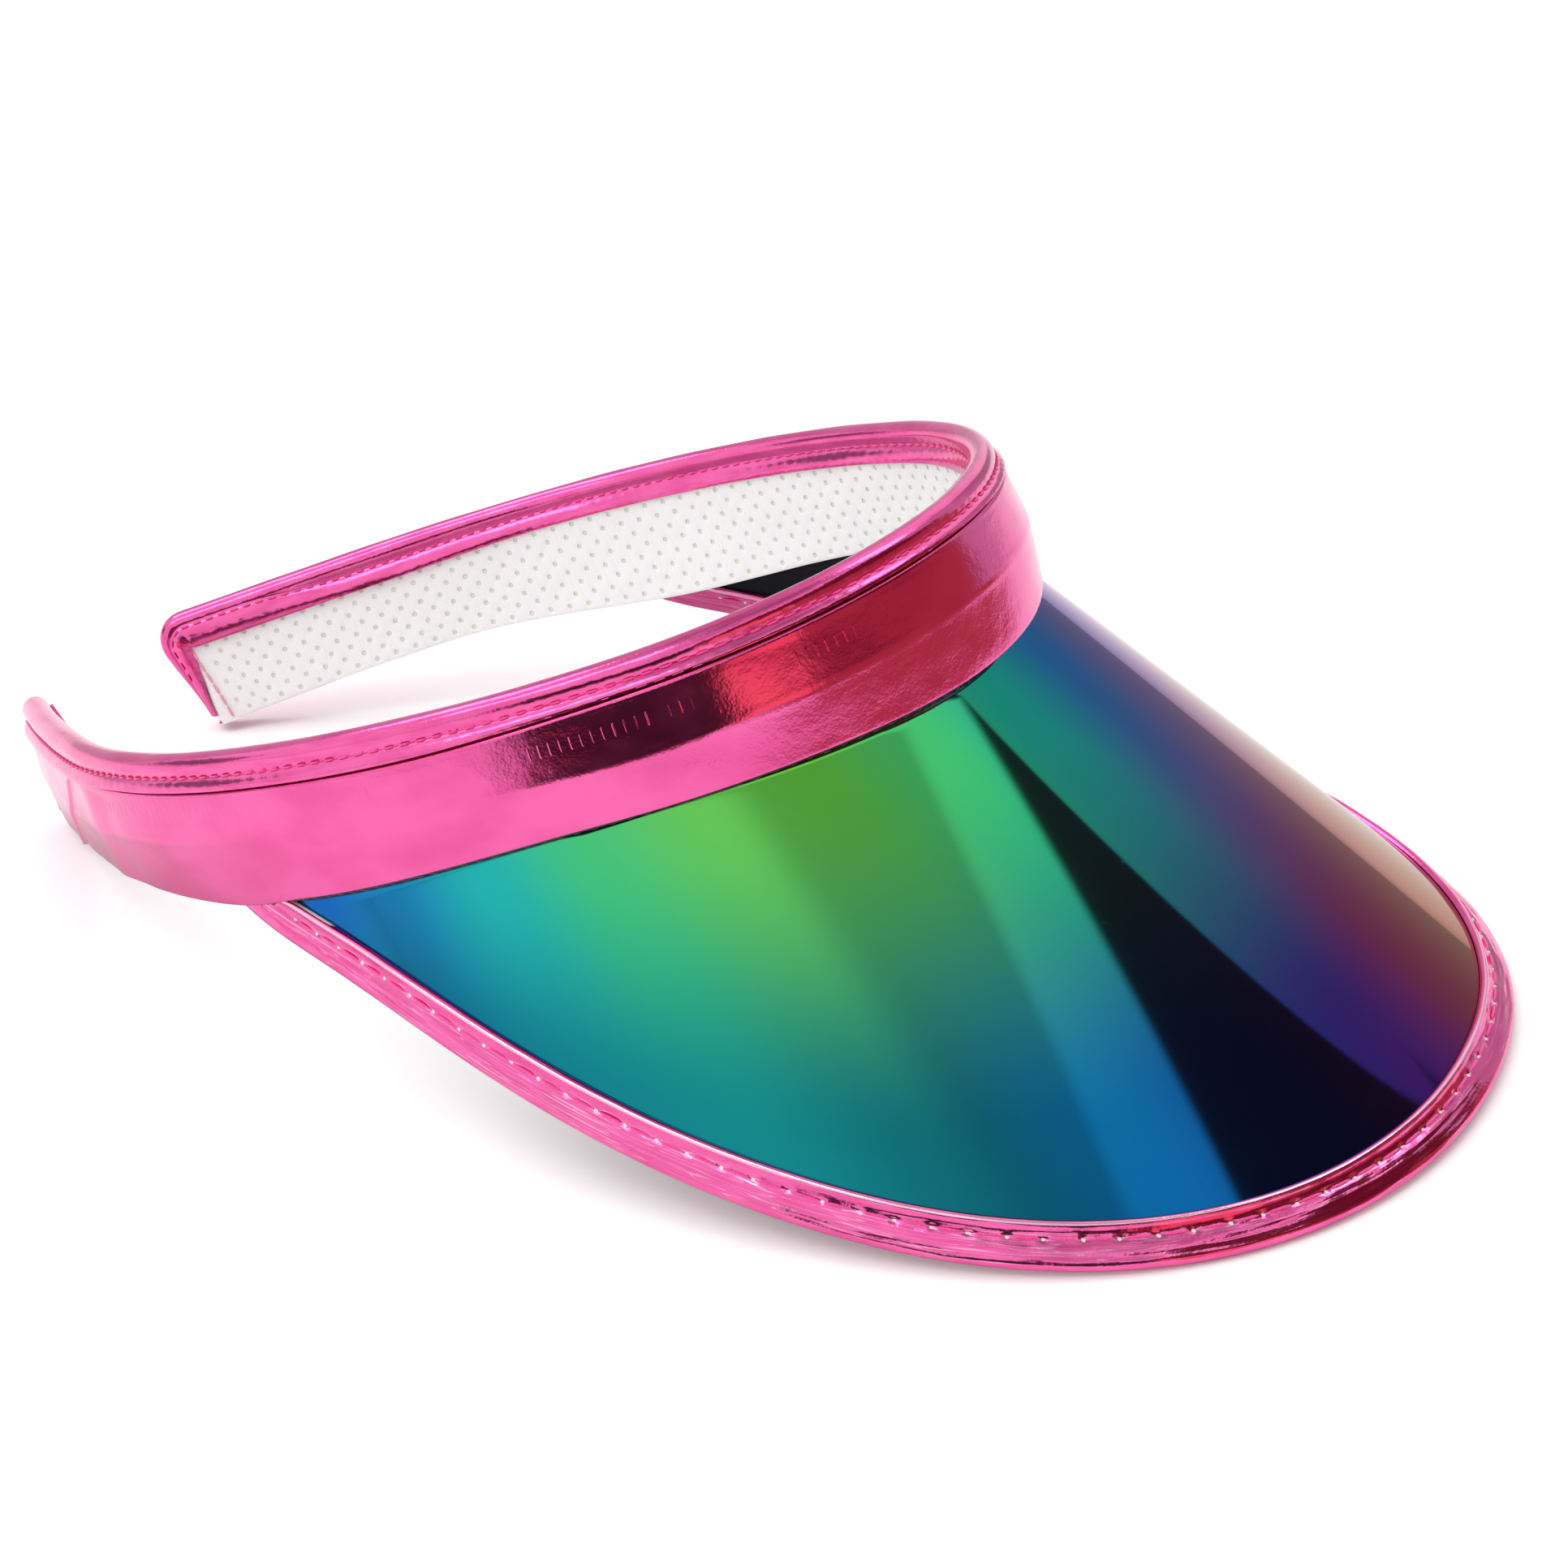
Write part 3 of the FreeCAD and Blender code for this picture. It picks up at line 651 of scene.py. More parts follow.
def lens_material():
    """Mirror coating: an interference film over dark plastic, with a tint of painted reflection colours.

    The mark is the share of the brim's length. The lower face has no coating. The bend has none either: it
    is nearly black, painted shade under the cover's hem.
    """
    nodes = Nodes("lens")
    along, extra, face = nodes.split(nodes.place())
    width = nodes.math("DIVIDE", along, 40.0)
    peak = nodes.math("EXPONENT", nodes.times(width, width, -1.0))
    film = nodes.math("ADD", nodes.times(peak, 52.0), 412.0)
    film = nodes.math("SUBTRACT", film, nodes.times(extra, 0.85))
    smears = nodes.noise((0.02, 0.012, 0.0))
    film = nodes.math("ADD", film, nodes.between(smears, 0.3, 0.7, -5.0, 5.0))
    place = nodes.math("DIVIDE", nodes.math("ADD", along, LENS_RANGE), 2 * LENS_RANGE)
    # painted reflection: the film's colours as they show from one direction, fixed by place near the band
    # and near the edge
    painted_reflections = [nodes.ramp(place, [((stop + LENS_RANGE) / (2 * LENS_RANGE), colour) for stop, colour in stops])
             for stops in (PAINTED_LENS_REFLECTION_NEAR_BAND, PAINTED_LENS_REFLECTION_NEAR_EDGE)]
    painted_reflection = nodes.mix(nodes.between(nodes.mark(), 0.05, 0.75), *painted_reflections)
    dust = nodes.noise((0.8, 0.8, 0.8), 4.0, 0.7)
    roughness = nodes.between(dust, 0.62, 0.8, 0.045, 0.12)
    film_coat = nodes.principled(
        base_color=(0.004, 0.006, 0.008), metallic=0.0, roughness=roughness, ior=2.1,
        thin_film_thickness=film, thin_film_ior=1.33)
    mirror = nodes.principled(base_color=painted_reflection, metallic=1.0, roughness=roughness)
    # painted shade: the bare bend, nearly black with a low IOR, stands for the shade under the cover's hem;
    # the lower face is bare too
    bare_and_painted_shade = nodes.principled(base_color=(0.003, 0.005, 0.009), roughness=0.10, ior=1.22)
    coated = nodes.times(nodes.between(extra, -0.1, 0.35), nodes.math("GREATER_THAN", face, 0.0))
    return nodes.done(nodes.mix_shaders(coated, bare_and_painted_shade, nodes.mix_shaders(0.55, film_coat, mirror)))


FOIL = foil_material()
BINDING = tape_material("binding_foil", (0.30, 0.9, 0.9), 0.00003, 0.15)
TAPE = tape_material("tape_foil", (0.08, 1.5, 0.5), 0.00006, 0.14, ridge=6.85)
PINK_THREAD = thread_material("pink_thread", (0.95, 0.07, 0.38), (0.88, 0.04, 0.28))
WRAP_THREAD = thread_material("wrap_thread", (0.90, 0.48, 0.56), (0.80, 0.34, 0.42))
DARK_THREAD = thread_material("dark_thread", (0.035, 0.03, 0.03), (0.008, 0.008, 0.01))
LINER = liner_material()
FOAM = foam_material()
STRIP = plastic_material("strip", (0.84, 0.84, 0.82), (0.78, 0.78, 0.75))
CORD = plastic_material("cord", (0.86, 0.86, 0.84), (0.80, 0.80, 0.78))
LENS = lens_material()

SIDES = (("left", -1.0), ("right", 1.0))


def on_half(piece, side, part):
    """A piece of one half of the band takes the place of that half's parts of the front and arm; its
    transform is baked into its mesh.
    """
    name, sign = side
    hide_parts("front_" + part, name + "_arm_" + part)
    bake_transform(piece)


def on_body(piece, body, node):
    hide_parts(node)
    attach(piece, body)


def band_loft(name, side, along, depth, out, material, sharp=38.0):
    """Loft of one side of the band, from the places of its sections."""
    label, sign = side
    points = on_band(sign * along, depth, out)
    return loft(name + "_" + label, points, place_stack(sign * along, depth, out), material, sharp=sharp)


# ---- the band's layers ----

def lip_depth(along):
    """Depth of the outer lip's edge: the lip is narrower round the front."""
    return 3.4 - 1.05 * front_share(along)


def hem_depth(along):
    """Depth of the cover's lower edge; over the brim it stays above the bend."""
    along = np.abs(along)
    over_brim = 1 - smooth(along, *BRIM_LEAVES)
    raised = 0.4 + 0.55 * smooth(along, 8.0, 45.0)
    notch = 0.7 * bump_at(along, 223.0, 4.0)
    return band_height(along) - raised * over_brim - notch


def cover_relief(along, depth):
    """How the foil departs from its even surface: the slanted end of a lap, and soft waves."""
    lap = LAP_ALONG + 1.15 * (depth - 2.0)
    folds = 0.55 * bump_at(along, lap, 1.7) - 0.45 * smooth(along, lap, lap + 5.0)
    folds = folds + 0.30 * bump_at(along, 193.0, 4.0) - 0.15 * bump_at(along, 184.0, 3.5)
    folds = folds + 0.05 * waves(11, along / 38.0, depth / 14.0)
    return folds + 0.012 * waves(12, along / 9.0, depth / 7.0, 8)


# the cover's face rises to a soft crease along its middle, and falls below it
CREASE_DEPTH = 12.75
CREASE_RISE = 0.13
CREASE_FALL = 0.085
LAP_ALONG = 203.0
COVER_THICKNESS = 0.55
COVER_END = HALF_LENGTH - 1.6


def cover_piece(side):
    """Foil cover: a rolled upper edge, the creased face, a small corner and a flat back."""
    along = stations(0.0, COVER_END, 640)
    roll = 0.85
    corner = 0.4
    top = lip_depth(along) + 0.35 + roll
    hem = hem_depth(along)
    face = COVER_FACE + 0.1 + 0.15 * front_share(along)
    turn = spread(0.0, math.pi, 9)
    share = spread(0.02, 1.0, 44)
    face_depth = top + (hem - corner - top) * share
    rise = CREASE_RISE * (face_depth - top)
    fall = CREASE_RISE * (CREASE_DEPTH - top) - CREASE_FALL * (face_depth - CREASE_DEPTH)
    blend = smooth(face_depth, CREASE_DEPTH - 1.5, CREASE_DEPTH + 1.5)
    swell = (rise + (fall - rise) * blend) * smooth(share, 0.0, 0.04)
    face_out = face + swell + cover_relief(along, face_depth) * smooth(share, 0.0, 0.05)
    edge = face_out[:, -1:]
    round_edge = spread(math.pi / 10, math.pi / 2, 5)
    under = smooth(along, 151.5, 158.0)
    back = face - COVER_THICKNESS
    inner_out = (back - 0.1) * (1 - under) - 2.45 * under
    depth = join(top - roll * np.sin(turn), face_depth, hem - corner + corner * np.sin(round_edge),
                 hem, hem - 0.45, hem - 0.5, top + 1.0)
    out = join(face - roll - roll * np.cos(turn), face_out, edge - corner + corner * np.cos(round_edge),
               inner_out, inner_out, np.minimum(edge - 0.6, back), back)
    rear = smooth(along, COVER_END - 2.2, COVER_END)
    out = out - rear * np.maximum(0.0, out - 2.9) * 0.5
    piece = band_loft("cover", side, along, depth, out, FOIL)
    on_half(piece, side, "cover")


LAYER_ALONG = stations(0.0, HALF_LENGTH - 3.4, 90)


def layer_piece(name, side, material, top, margin, near, far, swell=0.0):
    """Plain hidden layer of the band with rounded corners, from out = near to far."""
    share = spread(0.0, 1.0, 9)
    rounded = 1 - np.abs(2 * share - 1) ** 6
    depth = top + (band_height(LAYER_ALONG) - margin - top) * share
    middle = (near + far) / 2
    outer = middle + (far - middle) * (0.55 + 0.45 * rounded) + swell * rounded
    depth = join(depth, depth[:, ::-1])
    out = np.broadcast_to(join(outer, np.full_like(outer, near)), depth.shape)
    piece = band_loft(name, side, LAYER_ALONG, depth, out, material)
    on_half(piece, side, name)
    return piece


def hidden_layers(side):
    """Spring strip, piping cord and the two foam paddings."""
    layer_piece("spring_strip", side, STRIP, top=1.95, margin=1.5, near=-0.5, far=0.5)
    above_flange = 1.6 + 5.8 * (1 - smooth(LAYER_ALONG, 140.0, 149.0))
    outer = layer_piece("outer_padding", side, FOAM,
                        top=4.3, margin=above_flange, near=0.6, far=2.35, swell=0.1)
    inner = layer_piece("inner_padding", side, FOAM,
                        top=5.0, margin=1.6, near=-0.6, far=-2.25, swell=-0.05)
    name, sign = side
    along = stations(0.0, HALF_LENGTH - 6.0, 90)
    angle = circle(12)
    points = square_to(sign * along, CORD_RADIUS * np.cos(angle), CORD_RADIUS * np.sin(angle))
    cord = loft("piping_cord_" + name, points,
                place_stack(sign * along, np.cos(angle), np.sin(angle)), CORD)
    on_half(cord, side, "piping_cord")


# ---- binding along the top edge, round the rear corner and down the end ----

CORNER_RADIUS = 5.5
BINDING_END = HALF_LENGTH - 1.2
CORNER_START = BINDING_END - CORNER_RADIUS
CORNER_LENGTH = CORNER_RADIUS * math.pi / 2
DOWN_LENGTH = 16.0
BINDING_LENGTH = CORNER_START + CORNER_LENGTH + DOWN_LENGTH
INNER_LIP = 4.6


def binding_place(distance, below, out):
    """Place in the band for a point of the binding's section, along its route."""
    distance, below, out = even(distance, below, out)
    beyond = distance - CORNER_START
    turned = np.clip(beyond / CORNER_RADIUS, 0.0, math.pi / 2)
    down = np.maximum(0.0, beyond - CORNER_LENGTH)
    swell = 1 + 0.12 * smooth(distance, 170.0, 215.0)
    width = swell - 0.15 * smooth(beyond, 0.0, CORNER_LENGTH) - 0.65 * smooth(
        beyond, CORNER_LENGTH * 0.9, CORNER_LENGTH + DOWN_LENGTH)
    inward = CORNER_RADIUS - below * width
    along = np.minimum(distance, CORNER_START) + inward * np.sin(turned)
    depth = CORNER_RADIUS + down - inward * np.cos(turned)
    thinner = np.where(out > 0, 0.22, 0.08) * smooth(beyond, 0.0, CORNER_LENGTH + 4.0)
    return along, depth, out * (swell - thinner)


def valley(along, inner):
    """Depth and distance from the middle of the stitched valley under the bead."""
    if inner:
        raised = smooth(along, 218.0, 246.0)
        return 1.4 - 1.1 * raised, 2.2 + 0.55 * raised
    front = front_share(along)
    return 1.25 - 0.35 * front, 2.25 + 0.10 * front


def binding_section(distance):
    """Closed section of the binding at each distance, as (below, out)."""
    pucker = np.cos(TAU * distance / BAND_STITCH_PITCH)
    share = spread(0.0, 1.0, 12)
    rise = np.sin(share * math.pi / 2) ** 0.75
    crimp = (1 - share) * share * 4
    parts = []
    for inner in (False, True):
        deep, aside = valley(distance, inner)
        start = np.arctan2(aside, -deep)
        angle = start * spread(0.0, 0.93, 15)
        closeness = smooth(angle / start, 0.62, 0.93)
        radius = BEAD_RADIUS + closeness * (0.02 * pucker - 0.02)
        radius = radius + 0.03 * waves(21 + inner, distance / 26.0, angle / 2.0)
        toe = (INNER_LIP if inner else lip_depth(distance)) + 0 * distance
        face = LINER_FACE + 0.55 if inner else COVER_FACE + 0.45
        lip = aside - 0.06 + (face - aside + 0.06) * rise
        lip = lip + crimp * (0.015 * pucker + 0.01 * waves(25 + inner, distance / 4.1, share))
        lip = lip + 0.03 * waves(27 + inner, distance / 19.0, share) * share
        parts.append((
            join(-radius * np.cos(angle), deep + (toe - deep) * share, toe + (0.12, 0.1, -0.25),
                 deep + (0.55, 0.6)),
            join(radius * np.sin(angle), lip, lip[:, -1:] - (0.2, 0.45, 0.62), aside - (0.55, 1.0))))
    (outer_below, outer_out), (inner_below, inner_out) = parts
    return join(outer_below, inner_below[:, :0:-1]), join(outer_out, -inner_out[:, :0:-1])


def binding_piece(side):
    name, sign = side
    distance = stations(0.0, BINDING_LENGTH, 900)
    below, out = binding_section(distance)
    along, depth, across = binding_place(distance, below, out)
    points = on_band(sign * along, depth, across)
    places = place_stack(sign * distance, below, out)
    piece = loft("top_binding_" + name, points, places, BINDING, sharp=60.0)
    on_half(piece, side, "top_binding")


def band_stitches(side):
    """Pink stitches in both valleys of the top binding."""
    name, sign = side
    for inner, label in ((False, "outer"), (True, "inner")):
        def route(distance, across, lift):
            deep, aside = valley(distance, inner)
            out = aside + 0.05 + lift
            along, depth, out = binding_place(distance, deep + across, -out if inner else out)
            return on_band(sign * along, depth, out)

        centres = np.arange(BAND_STITCH_PITCH / 2, BINDING_LENGTH - 9.0, BAND_STITCH_PITCH)
        piece = stitches("band_stitches_" + label + "_" + name, centres, route, PINK_THREAD,
                         half_length=1.0, width=0.2, rise=0.22)
        on_half(piece, side, "binding_threads")


# ---- lining ----

LINER_ROWS = 8
LINER_CELL = 2.3
LINER_TOP = 4.4
LINER_MARGIN = 0.5
HOLE_RADIUS = 0.58
HOLE_DEPTH = 0.3
HOLE_SIDE = 3


def liner_surface(along, depth):
    relief = 0.05 * waves(31, along / 25.0, depth / 12.0) + 0.015 * waves(32, along / 6.0, depth / 5.0)
    return -(LINER_FACE + 0.02 + relief)


def liner_cells(cells):
    """Points and faces of the lining, every second cell with a punched hole.

    Each point is along, share of the height, further depth, sink and mark.
    """
    points = []
    faces = []
    edge = [(-1 + 2 * i / HOLE_SIDE, -1.0) for i in range(HOLE_SIDE)]
    square = edge + [(-y, x) for x, y in edge] + [(-x, -y) for x, y in edge] + [(y, -x) for x, y in edge]
    spokes = unit(np.array(square))
    step = np.linspace(-1.0, 1.0, HOLE_SIDE + 1)
    lattice = [(u, v) for v in step for u in step]
    total = len(square)
    for column in range(cells):
        for row in range(LINER_ROWS):
            start = len(points)
            holed = (row + column) % 2 == 0
            points += [((column + 0.5 + u / 2) * LINER_CELL, (row + 0.5 + v / 2) / LINER_ROWS, 0.0, 0.0, 0.0)
                       for u, v in (square if holed else lattice)]
            if not holed:
                faces += quads(HOLE_SIDE + 1, HOLE_SIDE + 1, closed=False, start=start)
                continue
            for radius, sink, mark in ((0.9, 0.02, 0.0), (HOLE_RADIUS, 0.10, 0.3),
                                       (HOLE_RADIUS * 0.9, HOLE_DEPTH, 1.0)):
                points += [((column + 0.5) * LINER_CELL + u * radius, (row + 0.5) / LINER_ROWS, v * radius,
                            sink, mark) for u, v in spokes]
            faces += quads(4, total, start=start)
            faces.append([start + 3 * total + i for i in range(total)])
    return np.array(points).T, faces


def liner_piece(side):
    """Perforated lining with its hem folded in under the lower edge."""
    name, sign = side
    cells = int((HALF_LENGTH - 4.5) / LINER_CELL)
    (along, share, further, sink, marks), faces = liner_cells(cells)
    depth = LINER_TOP + share * (band_height(along) - LINER_MARGIN - LINER_TOP) + further
    out = liner_surface(along, depth) + sink
    line = np.arange(cells * HOLE_SIDE + 1) * LINER_CELL / HOLE_SIDE
    hem = band_height(line) - LINER_MARGIN
    fold_depth = (hem, hem + 0.35, hem + 0.4, hem + 0.2)
    turned_in = [np.full_like(line, value) for value in (0.2 - LINER_FACE, -2.5, -2.2)]
    faces += quads(len(fold_depth), len(line), closed=False, start=len(along))
    along = np.concatenate([along, np.tile(line, len(fold_depth))])
    depth = np.concatenate([depth, *fold_depth])
    out = np.concatenate([out, liner_surface(line, hem), *turned_in])
    marks = np.concatenate([marks, np.zeros(len(along) - len(marks))])
    piece = finish_piece("liner_" + name, on_band(sign * along, depth, out), faces,
                         place_stack(sign * along, depth, out), LINER, marks, sharp=50.0, weld=True)
    on_half(piece, side, "liner")


# ---- rear ends ----

def end_wrap_piece(side):
    """White lining folded round the rear end, inside the binding."""
    name, sign = side
    depth = stations(5.0, band_height(np.array(HALF_LENGTH)) + 0.1, 30)
    end = HALF_LENGTH - 3.8 + 2.0 * smooth(depth, 12.0, 23.0)
    lap_end = HALF_LENGTH - 7.6 + 0 * depth
    lap = -LINER_FACE - 0.3
    wall = 0.45
    radius = 1.5
    inside = radius - wall
    bend = spread(0.0, math.pi / 2, 8)
    back = bend[:, ::-1]
    middle = lap + radius
    along = join(lap_end, end - radius + radius * np.sin(bend), end - 0.1, end - 0.5,
                 end - 0.5 - wall, end - wall, end - radius + inside * np.sin(back), lap_end)
    out = np.concatenate([[lap + 0.28], middle - radius * np.cos(bend[0]), [0.6, 1.4, 1.3, 0.6],
                          middle - inside * np.cos(back[0]), [lap + wall]]) + 0 * depth
    wrinkle = 0.10 * waves(41, depth / 9.0, out / 4.0)
    along = along + wrinkle * smooth(along, HALF_LENGTH - 4.0, HALF_LENGTH - 1.0)
    close = smooth(depth, depth[-1] - 2.5, depth[-1] + 0.2)
    along = along - close * 1.3 * smooth(along, HALF_LENGTH - 4.0, HALF_LENGTH)
    piece = band_loft("end_wrap", side, along, depth, out, LINER, sharp=60.0)
    on_body(piece, name + "_arm", name + "_arm_end_wrap")

    def route(distance, across, lift):
        rear = HALF_LENGTH - 5.6 - 0.6 * smooth(distance, 5.0, 24.0)
        return on_band(sign * (rear + across), distance, lap - 0.05 - lift)

    centres = np.arange(7.0, float(depth[-1, 0]) - 1.0, BAND_STITCH_PITCH)
    thread = stitches("end_stitches_" + name, centres, route, WRAP_THREAD,
                      half_length=1.35, width=0.34, rise=0.2)
    on_body(thread, name + "_arm", name + "_arm_end_stitches")


for half in SIDES:
    cover_piece(half)
    hidden_layers(half)
    binding_piece(half)
    band_stitches(half)
    liner_piece(half)
    end_wrap_piece(half)


# ---- the brim ----

def lens_piece():
    """Bent sheet: a flange up inside the band, a rounded bend and the cone."""
    end = place_with_room(TAPE_TIP_WIDTH + 1.3)
    along = stations(-end, end, 521)
    beyond = reach(along) - LENS_INSET - BEND_REACH
    flange = 0 * along + (-FLANGE_HEIGHT, -5.0, -3.0, -1.8)
    bend = 0 * along + spread(-BEND_REACH, BEND_REACH, 9)
    extra = join(flange, bend, BEND_REACH + beyond * spread(0.0, 1.0, 50)[:, 1:] ** 1.2)
    upper, lower = [sheet_point(along, extra, lift) for lift in (LENS_HALF, -LENS_HALF)]
    points = join(upper, lower[:, ::-1])
    face = join(np.ones(extra.shape), -np.ones(extra.shape))
    extra = join(extra, extra[:, ::-1])
    piece = loft("lens", points, place_stack(along, extra, face), LENS, extra / reach(along), sharp=50.0)
    on_body(piece, "front", "brim_lens")


def seam_piece():
    """Dark thread along the seam, with a small knot at each stitch."""
    end = BRIM_HALF_SPAN - 7.0
    along = stations(-end, end, 1100)
    angle = circle(8)
    knot = np.maximum(0.0, np.cos(TAU * along / BAND_STITCH_PITCH)) ** 2
    radius = 0.30 + 0.13 * knot + 0.04 * waves(51, along / 3.0, 0.0)
    depth = hem_depth(along) + 0.25 + radius * np.cos(angle)
    out = FLANGE_MIDDLE + 1.0 + 0.1 * knot + radius * np.sin(angle)
    piece = loft("seam_thread", on_band(along, depth, out), place_stack(along, depth, out), DARK_THREAD)
    on_body(piece, "front", "brim_seam_thread")


def tape_line():
    """Distances along the row of needle holes, and the places that they belong to."""
    fine = np.linspace(-TAPE_END, TAPE_END, 3001)
    line = flat_point(*edge_place(fine, TAPE_STITCH_INSET))
    length = np.concatenate([[0.0], np.cumsum(np.linalg.norm(np.diff(line, axis=0), axis=1))])
    length = length - length[-1] / 2
    distance = np.linspace(length[0], length[-1], 820)
    return distance, np.interp(distance, length, fine)


TAPE_DISTANCE, TAPE_ALONG = tape_line()
HOLE_COUNT = int((TAPE_DISTANCE[-1] - 9.0) / TAPE_STITCH_PITCH)
HOLE_CENTRES = np.arange(-HOLE_COUNT, HOLE_COUNT + 1) * TAPE_STITCH_PITCH

# the tape's upper face from its inner edge to the fold, as (inset, lift)
TAPE_CONTOUR = np.array((
    (7.5, 0.62), (7.47, 1.1), (7.3, 1.45), (7.05, 1.66), (6.8, 1.72), (6.55, 1.68), (6.3, 1.55), (6.05, 1.4),
    (5.8, 1.28), (5.5, 1.21), (5.2, 1.17), (4.95, 1.13), (4.7, 1.11), (4.45, 1.13), (4.2, 1.17), (3.9, 1.22),
    (3.6, 1.26), (3.3, 1.29), (3.0, 1.31), (2.7, 1.32), (2.4, 1.32), (2.1, 1.31), (1.8, 1.29), (1.5, 1.27),
    (1.2, 1.25), (0.9, 1.2), (0.5, 1.0), (0.15, 0.65), (0.0, 0.3)))


def tape_piece():
    """Foil tape folded round the brim's edge, creased along its length and pricked at the stitches."""
    distance = TAPE_DISTANCE[:, None]
    inset, lift = TAPE_CONTOUR.T
    outer = np.concatenate([np.ones(2 * len(inset)), np.zeros(4)])[None, :]
    inset = np.concatenate([inset, inset[::-1], (7.4, 0.5, 0.5, 7.4)])[None, :]
    lift = np.concatenate([lift, -lift[::-1], (-TAPE_BACK, -TAPE_BACK, TAPE_BACK, TAPE_BACK)])[None, :]
    face = np.sign(lift)
    side = np.where(lift > 0, 0.0, 3.0)
    body = smooth(inset, 0.5, 1.2) * (1 - smooth(inset, 5.4, 6.2))
    creases = 0.030 * waves(61, distance / 24.0 + side, inset / 1.2, 10) * body
    creases = creases + 0.018 * waves(62, distance / 10.0, inset / 0.9 + side, 10) * body
    creases = creases + 0.05 * waves(63, distance / 14.0 + side, inset / 5.0, 5)
    pits = 0.0
    marks = 0.0
    for centre, shift in zip(HOLE_CENTRES, 0.12 * np.sin(HOLE_CENTRES * 1.7)):
        near = distance - centre - shift
        pits = pits + bump_at(near, 0.0, 0.55) * bump_at(inset, TAPE_STITCH_INSET + shift, 0.45)
        marks = marks + bump_at(near, 0.0, 0.42) * bump_at(inset, TAPE_STITCH_INSET - 0.12, 0.34)
    pucker = 0.05 * np.cos(TAU * distance / TAPE_STITCH_PITCH)
    relief = creases + pucker * bump_at(inset, TAPE_STITCH_INSET, 1.6)
    relief = smooth(np.abs(lift), 0.9, 1.15) * relief - 0.3 * pits
    points = near_edge(TAPE_ALONG[:, None], inset, lift + face * outer * relief)
    to_end = TAPE_DISTANCE[-1] - np.abs(distance)
    frayed = smooth(to_end, 8.0, 12.0) * (1 - smooth(to_end, 18.0, 26.0))
    marks = marks * outer + frayed * bump_at(inset, TAPE_WIDTH, 0.12) * (lift > 0)
    piece = loft("edge_tape", points, place_stack(distance, inset, 3 * face), TAPE, marks, sharp=60.0)
    on_body(piece, "front", "brim_edge_binding")


def tape_stitches():
    """Thread between the needle holes, on both faces of the tape."""
    for face, label in ((1.0, "upper"), (-1.0, "lower")):
        def route(distance, across, lift):
            along = np.interp(distance, TAPE_DISTANCE, TAPE_ALONG)
            return near_edge(along, TAPE_STITCH_INSET + across, face * (TAPE_STITCH_LIFT + lift))

        centres = HOLE_CENTRES[:-1] + TAPE_STITCH_PITCH / 2
        piece = stitches("edge_stitches_" + label, centres, route, PINK_THREAD,
                         half_length=2.0, width=0.22, rise=0.12)
        on_body(piece, "front", "brim_edge_stitches")


lens_piece()
seam_piece()
tape_piece()
tape_stitches()


# ---- floor, light and camera ----

FLOOR_HALF = 6.0


def floor_piece():
    """White floor; glossy pieces see painted reflections on it, darker and redder in three places: a dark,
    red room ahead and beside, and painted shade round the inside of the band.
    """
    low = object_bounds()[0]
    mesh = bpy.data.meshes.new("floor")
    corners = [(x * FLOOR_HALF, y * FLOOR_HALF, low[2] - 0.0001)
               for x, y in ((-1, -1), (1, -1), (1, 1), (-1, 1))]
    mesh.from_pydata(corners, [], [(0, 1, 2, 3)])
    nodes = Nodes("floor")
    position = nodes.node("ShaderNodeNewGeometry").outputs["Position"]
    paths = nodes.node("ShaderNodeLightPath").outputs
    right, back = nodes.split(position)[:2]
    colour = nodes.mix(nodes.between(back, 0.15, 1.1), (0.93, 0.93, 0.93), (0.93, 0.915, 0.865))
    azimuth = nodes.azimuth(right, back)
    away = nodes.vector("LENGTH", position)
    # painted reflections: in glossy rays the floor ahead and to the left reads as a dark, red room
    ahead = nodes.times(nodes.between(azimuth, -0.8, -0.3), nodes.between(azimuth, 0.9, 1.15, 1.0, 0.0),
                        nodes.between(away, 0.30, 0.50))
    beside = nodes.times(nodes.between(azimuth, -1.68, -1.5), nodes.between(azimuth, -0.85, -0.7, 1.0, 0.0),
                         nodes.between(away, 0.35, 0.7))
    # painted shade: in glossy rays the floor round the inside of the band is darker
    inner = nodes.vector("DISTANCE", position, (0.0, 0.06, 0.0))
    inner = nodes.between(inner, 0.06, 0.10, 1.0, 0.0)
    painted_reflection_tones = ((ahead, (0.40, 0.14, 0.11)), (beside, (0.18, 0.07, 0.07)), (inner, (0.50, 0.44, 0.46)))
    for share, tone in painted_reflection_tones:
        colour = nodes.mix(nodes.times(share, paths["Is Glossy Ray"]), colour, tone)
    glow = nodes.node("ShaderNodeEmission", {
        "Color": colour, "Strength": nodes.times(paths["Is Camera Ray"], 0.12)})
    matte = nodes.node("ShaderNodeBsdfDiffuse", {"Color": colour})
    both = nodes.node("ShaderNodeAddShader", {0: matte.outputs[0], 1: glow.outputs[0]})
    mesh.materials.append(nodes.done(both.outputs[0]))
    piece = add_object("floor", mesh)


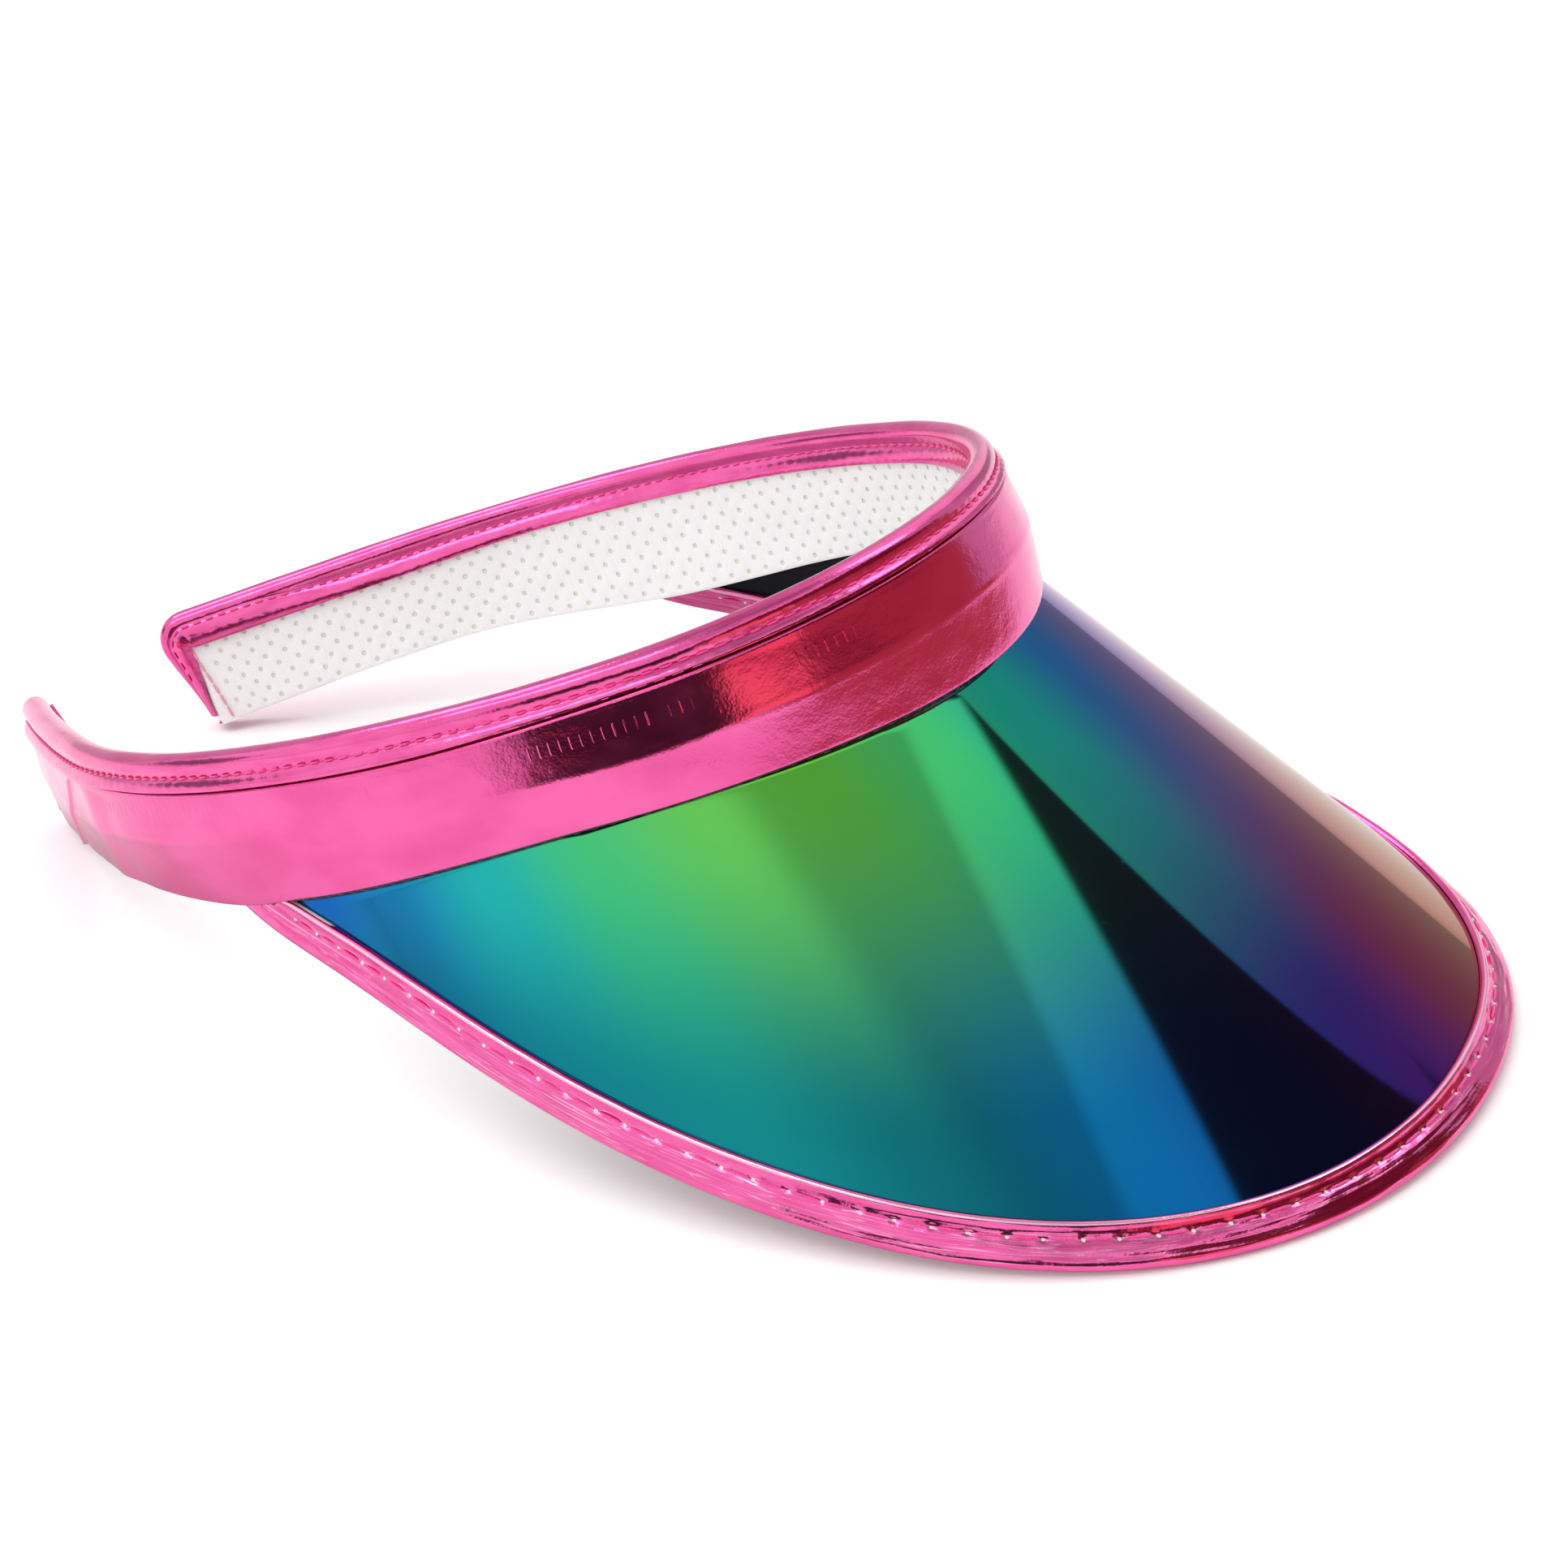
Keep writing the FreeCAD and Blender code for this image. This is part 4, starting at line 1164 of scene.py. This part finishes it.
def world_light():
    """Studio for glossy surfaces to mirror.

    A large white sheet hangs above and behind and a smaller one low on the right, with three
    soft boxes high up and a dim room in front. The camera sees a plain backdrop.
    """
    nodes = Nodes("studio", world=True)
    direction = nodes.node("ShaderNodeTexCoord").outputs["Generated"]
    right, back, up = nodes.split(direction)
    azimuth = nodes.times(nodes.azimuth(right, back), 180 / math.pi)

    def toward(normal, start, end, low=0.0, high=1.0):
        return nodes.between(nodes.vector("DOT_PRODUCT", direction, normal), start, end, low, high)

    main_sheet = toward((-0.225, 0.749, 0.623), -0.008, 0.010)
    stripe = toward((-0.164, 0.843, 0.512), -0.03, 0.03, 1.12, 0.0)
    front = nodes.span(azimuth, -75.0, 90.0, 32.0)
    level = nodes.most(nodes.between(front, 0.0, 1.0, 1.08, 0.70), stripe)
    low = nodes.times(nodes.span(azimuth, -96.0, -40.0, 5.0), nodes.between(up, 0.27, 0.36, 1.0, 0.0))
    rear = nodes.times(nodes.span(azimuth, -178.0, -147.0, 6.0), nodes.span(up, 0.03, 0.32, 0.05))
    level = nodes.times(
        main_sheet, level, nodes.between(up, 0.90, 0.95, 1.0, 0.62), nodes.between(up, 0.0, 0.12, 0.85, 1.0),
        nodes.between(azimuth, 105.0, 125.0, 1.0, 0.65), nodes.between(low, 0.0, 1.0, 1.0, 0.03),
        nodes.between(rear, 0.0, 1.0, 1.0, 0.25))
    disc = toward((0.658, -0.468, 0.590), 0.9880, 0.9905)
    side = nodes.times(nodes.between(azimuth, 49.0, 54.0), nodes.between(azimuth, 118.0, 130.0, 1.0, 0.0),
                       nodes.between(up, 0.60, 0.68, 1.0, 0.0))
    side = nodes.times(nodes.most(disc, side), nodes.between(azimuth, 62.0, 92.0, 0.62, 0.44))
    band = nodes.vector("DOT_PRODUCT", direction, (0.758, 0.572, 0.314))
    left_box = nodes.times(nodes.span(band, -0.13, 0.13, 0.04), toward((-0.525, 0.249, 0.814), 0.93, 0.945))
    right_box = toward((0.489, -0.239, 0.839), 0.982, 0.989)
    back_box = toward((0.058, 0.667, 0.743), 0.976, 0.984)
    level = nodes.most(level, side, nodes.times(nodes.most(left_box, right_box, back_box), 3.4))
    room = nodes.mix(nodes.between(azimuth, -42.0, -37.0), (0.05, 0.03, 0.035), (1.10, 0.44, 0.32))
    room = nodes.mix(nodes.between(azimuth, -16.0, -11.0), room, (0.42, 0.13, 0.11))
    room = nodes.mix(nodes.between(up, 0.22, 0.45), room, (0.15, 0.028, 0.042))
    white = nodes.node("ShaderNodeCombineColor", {0: level, 1: level, 2: level}).outputs[0]
    colour = nodes.mix(1.0, room, white, "LIGHTEN")
    light, backdrop = [nodes.node("ShaderNodeBackground", {"Color": value}).outputs[0]
                       for value in (colour, (1.0, 0.99, 0.96))]
    seen = nodes.node("ShaderNodeLightPath").outputs["Is Camera Ray"]
    bpy.context.scene.world = nodes.done(nodes.mix_shaders(seen, light, backdrop))


def overhead_light():
    """Soft light from above that lights matte surfaces; glossy ones mirror the studio instead."""
    light = bpy.data.lights.new("overhead", "AREA")
    light.shape = "DISK"
    light.size = 1.4
    light.energy = 6.3
    lamp = add_object("overhead", light)
    lamp.location = (-0.2, 0.2, 1.3)
    lamp.visible_glossy = False
    lamp.visible_camera = False


def photo_camera():
    azimuth = math.radians(-59.51)
    elevation = math.radians(28.194)
    roll = math.radians(-3.775)
    distance = 0.4415
    target = (-0.0004, -0.01576, 0.02811)
    camera = bpy.data.cameras.new("camera")
    camera.sensor_width = 36.0
    camera.lens = 55.66
    camera.shift_x = 0.0111
    camera.shift_y = 0.0018
    camera.clip_start = 0.01
    viewer = add_object("camera", camera)
    aim = Matrix.Rotation(azimuth, 4, "Z") @ Matrix.Rotation(math.pi / 2 - elevation, 4, "X")
    aim = aim @ Matrix.Rotation(roll, 4, "Z")
    viewer.matrix_world = Matrix.Translation(target) @ aim @ Matrix.Translation((0.0, 0.0, distance))
    bpy.context.scene.camera = viewer


floor_piece()
world_light()
overhead_light()
photo_camera()
bpy.context.scene.view_settings.view_transform = "Standard"
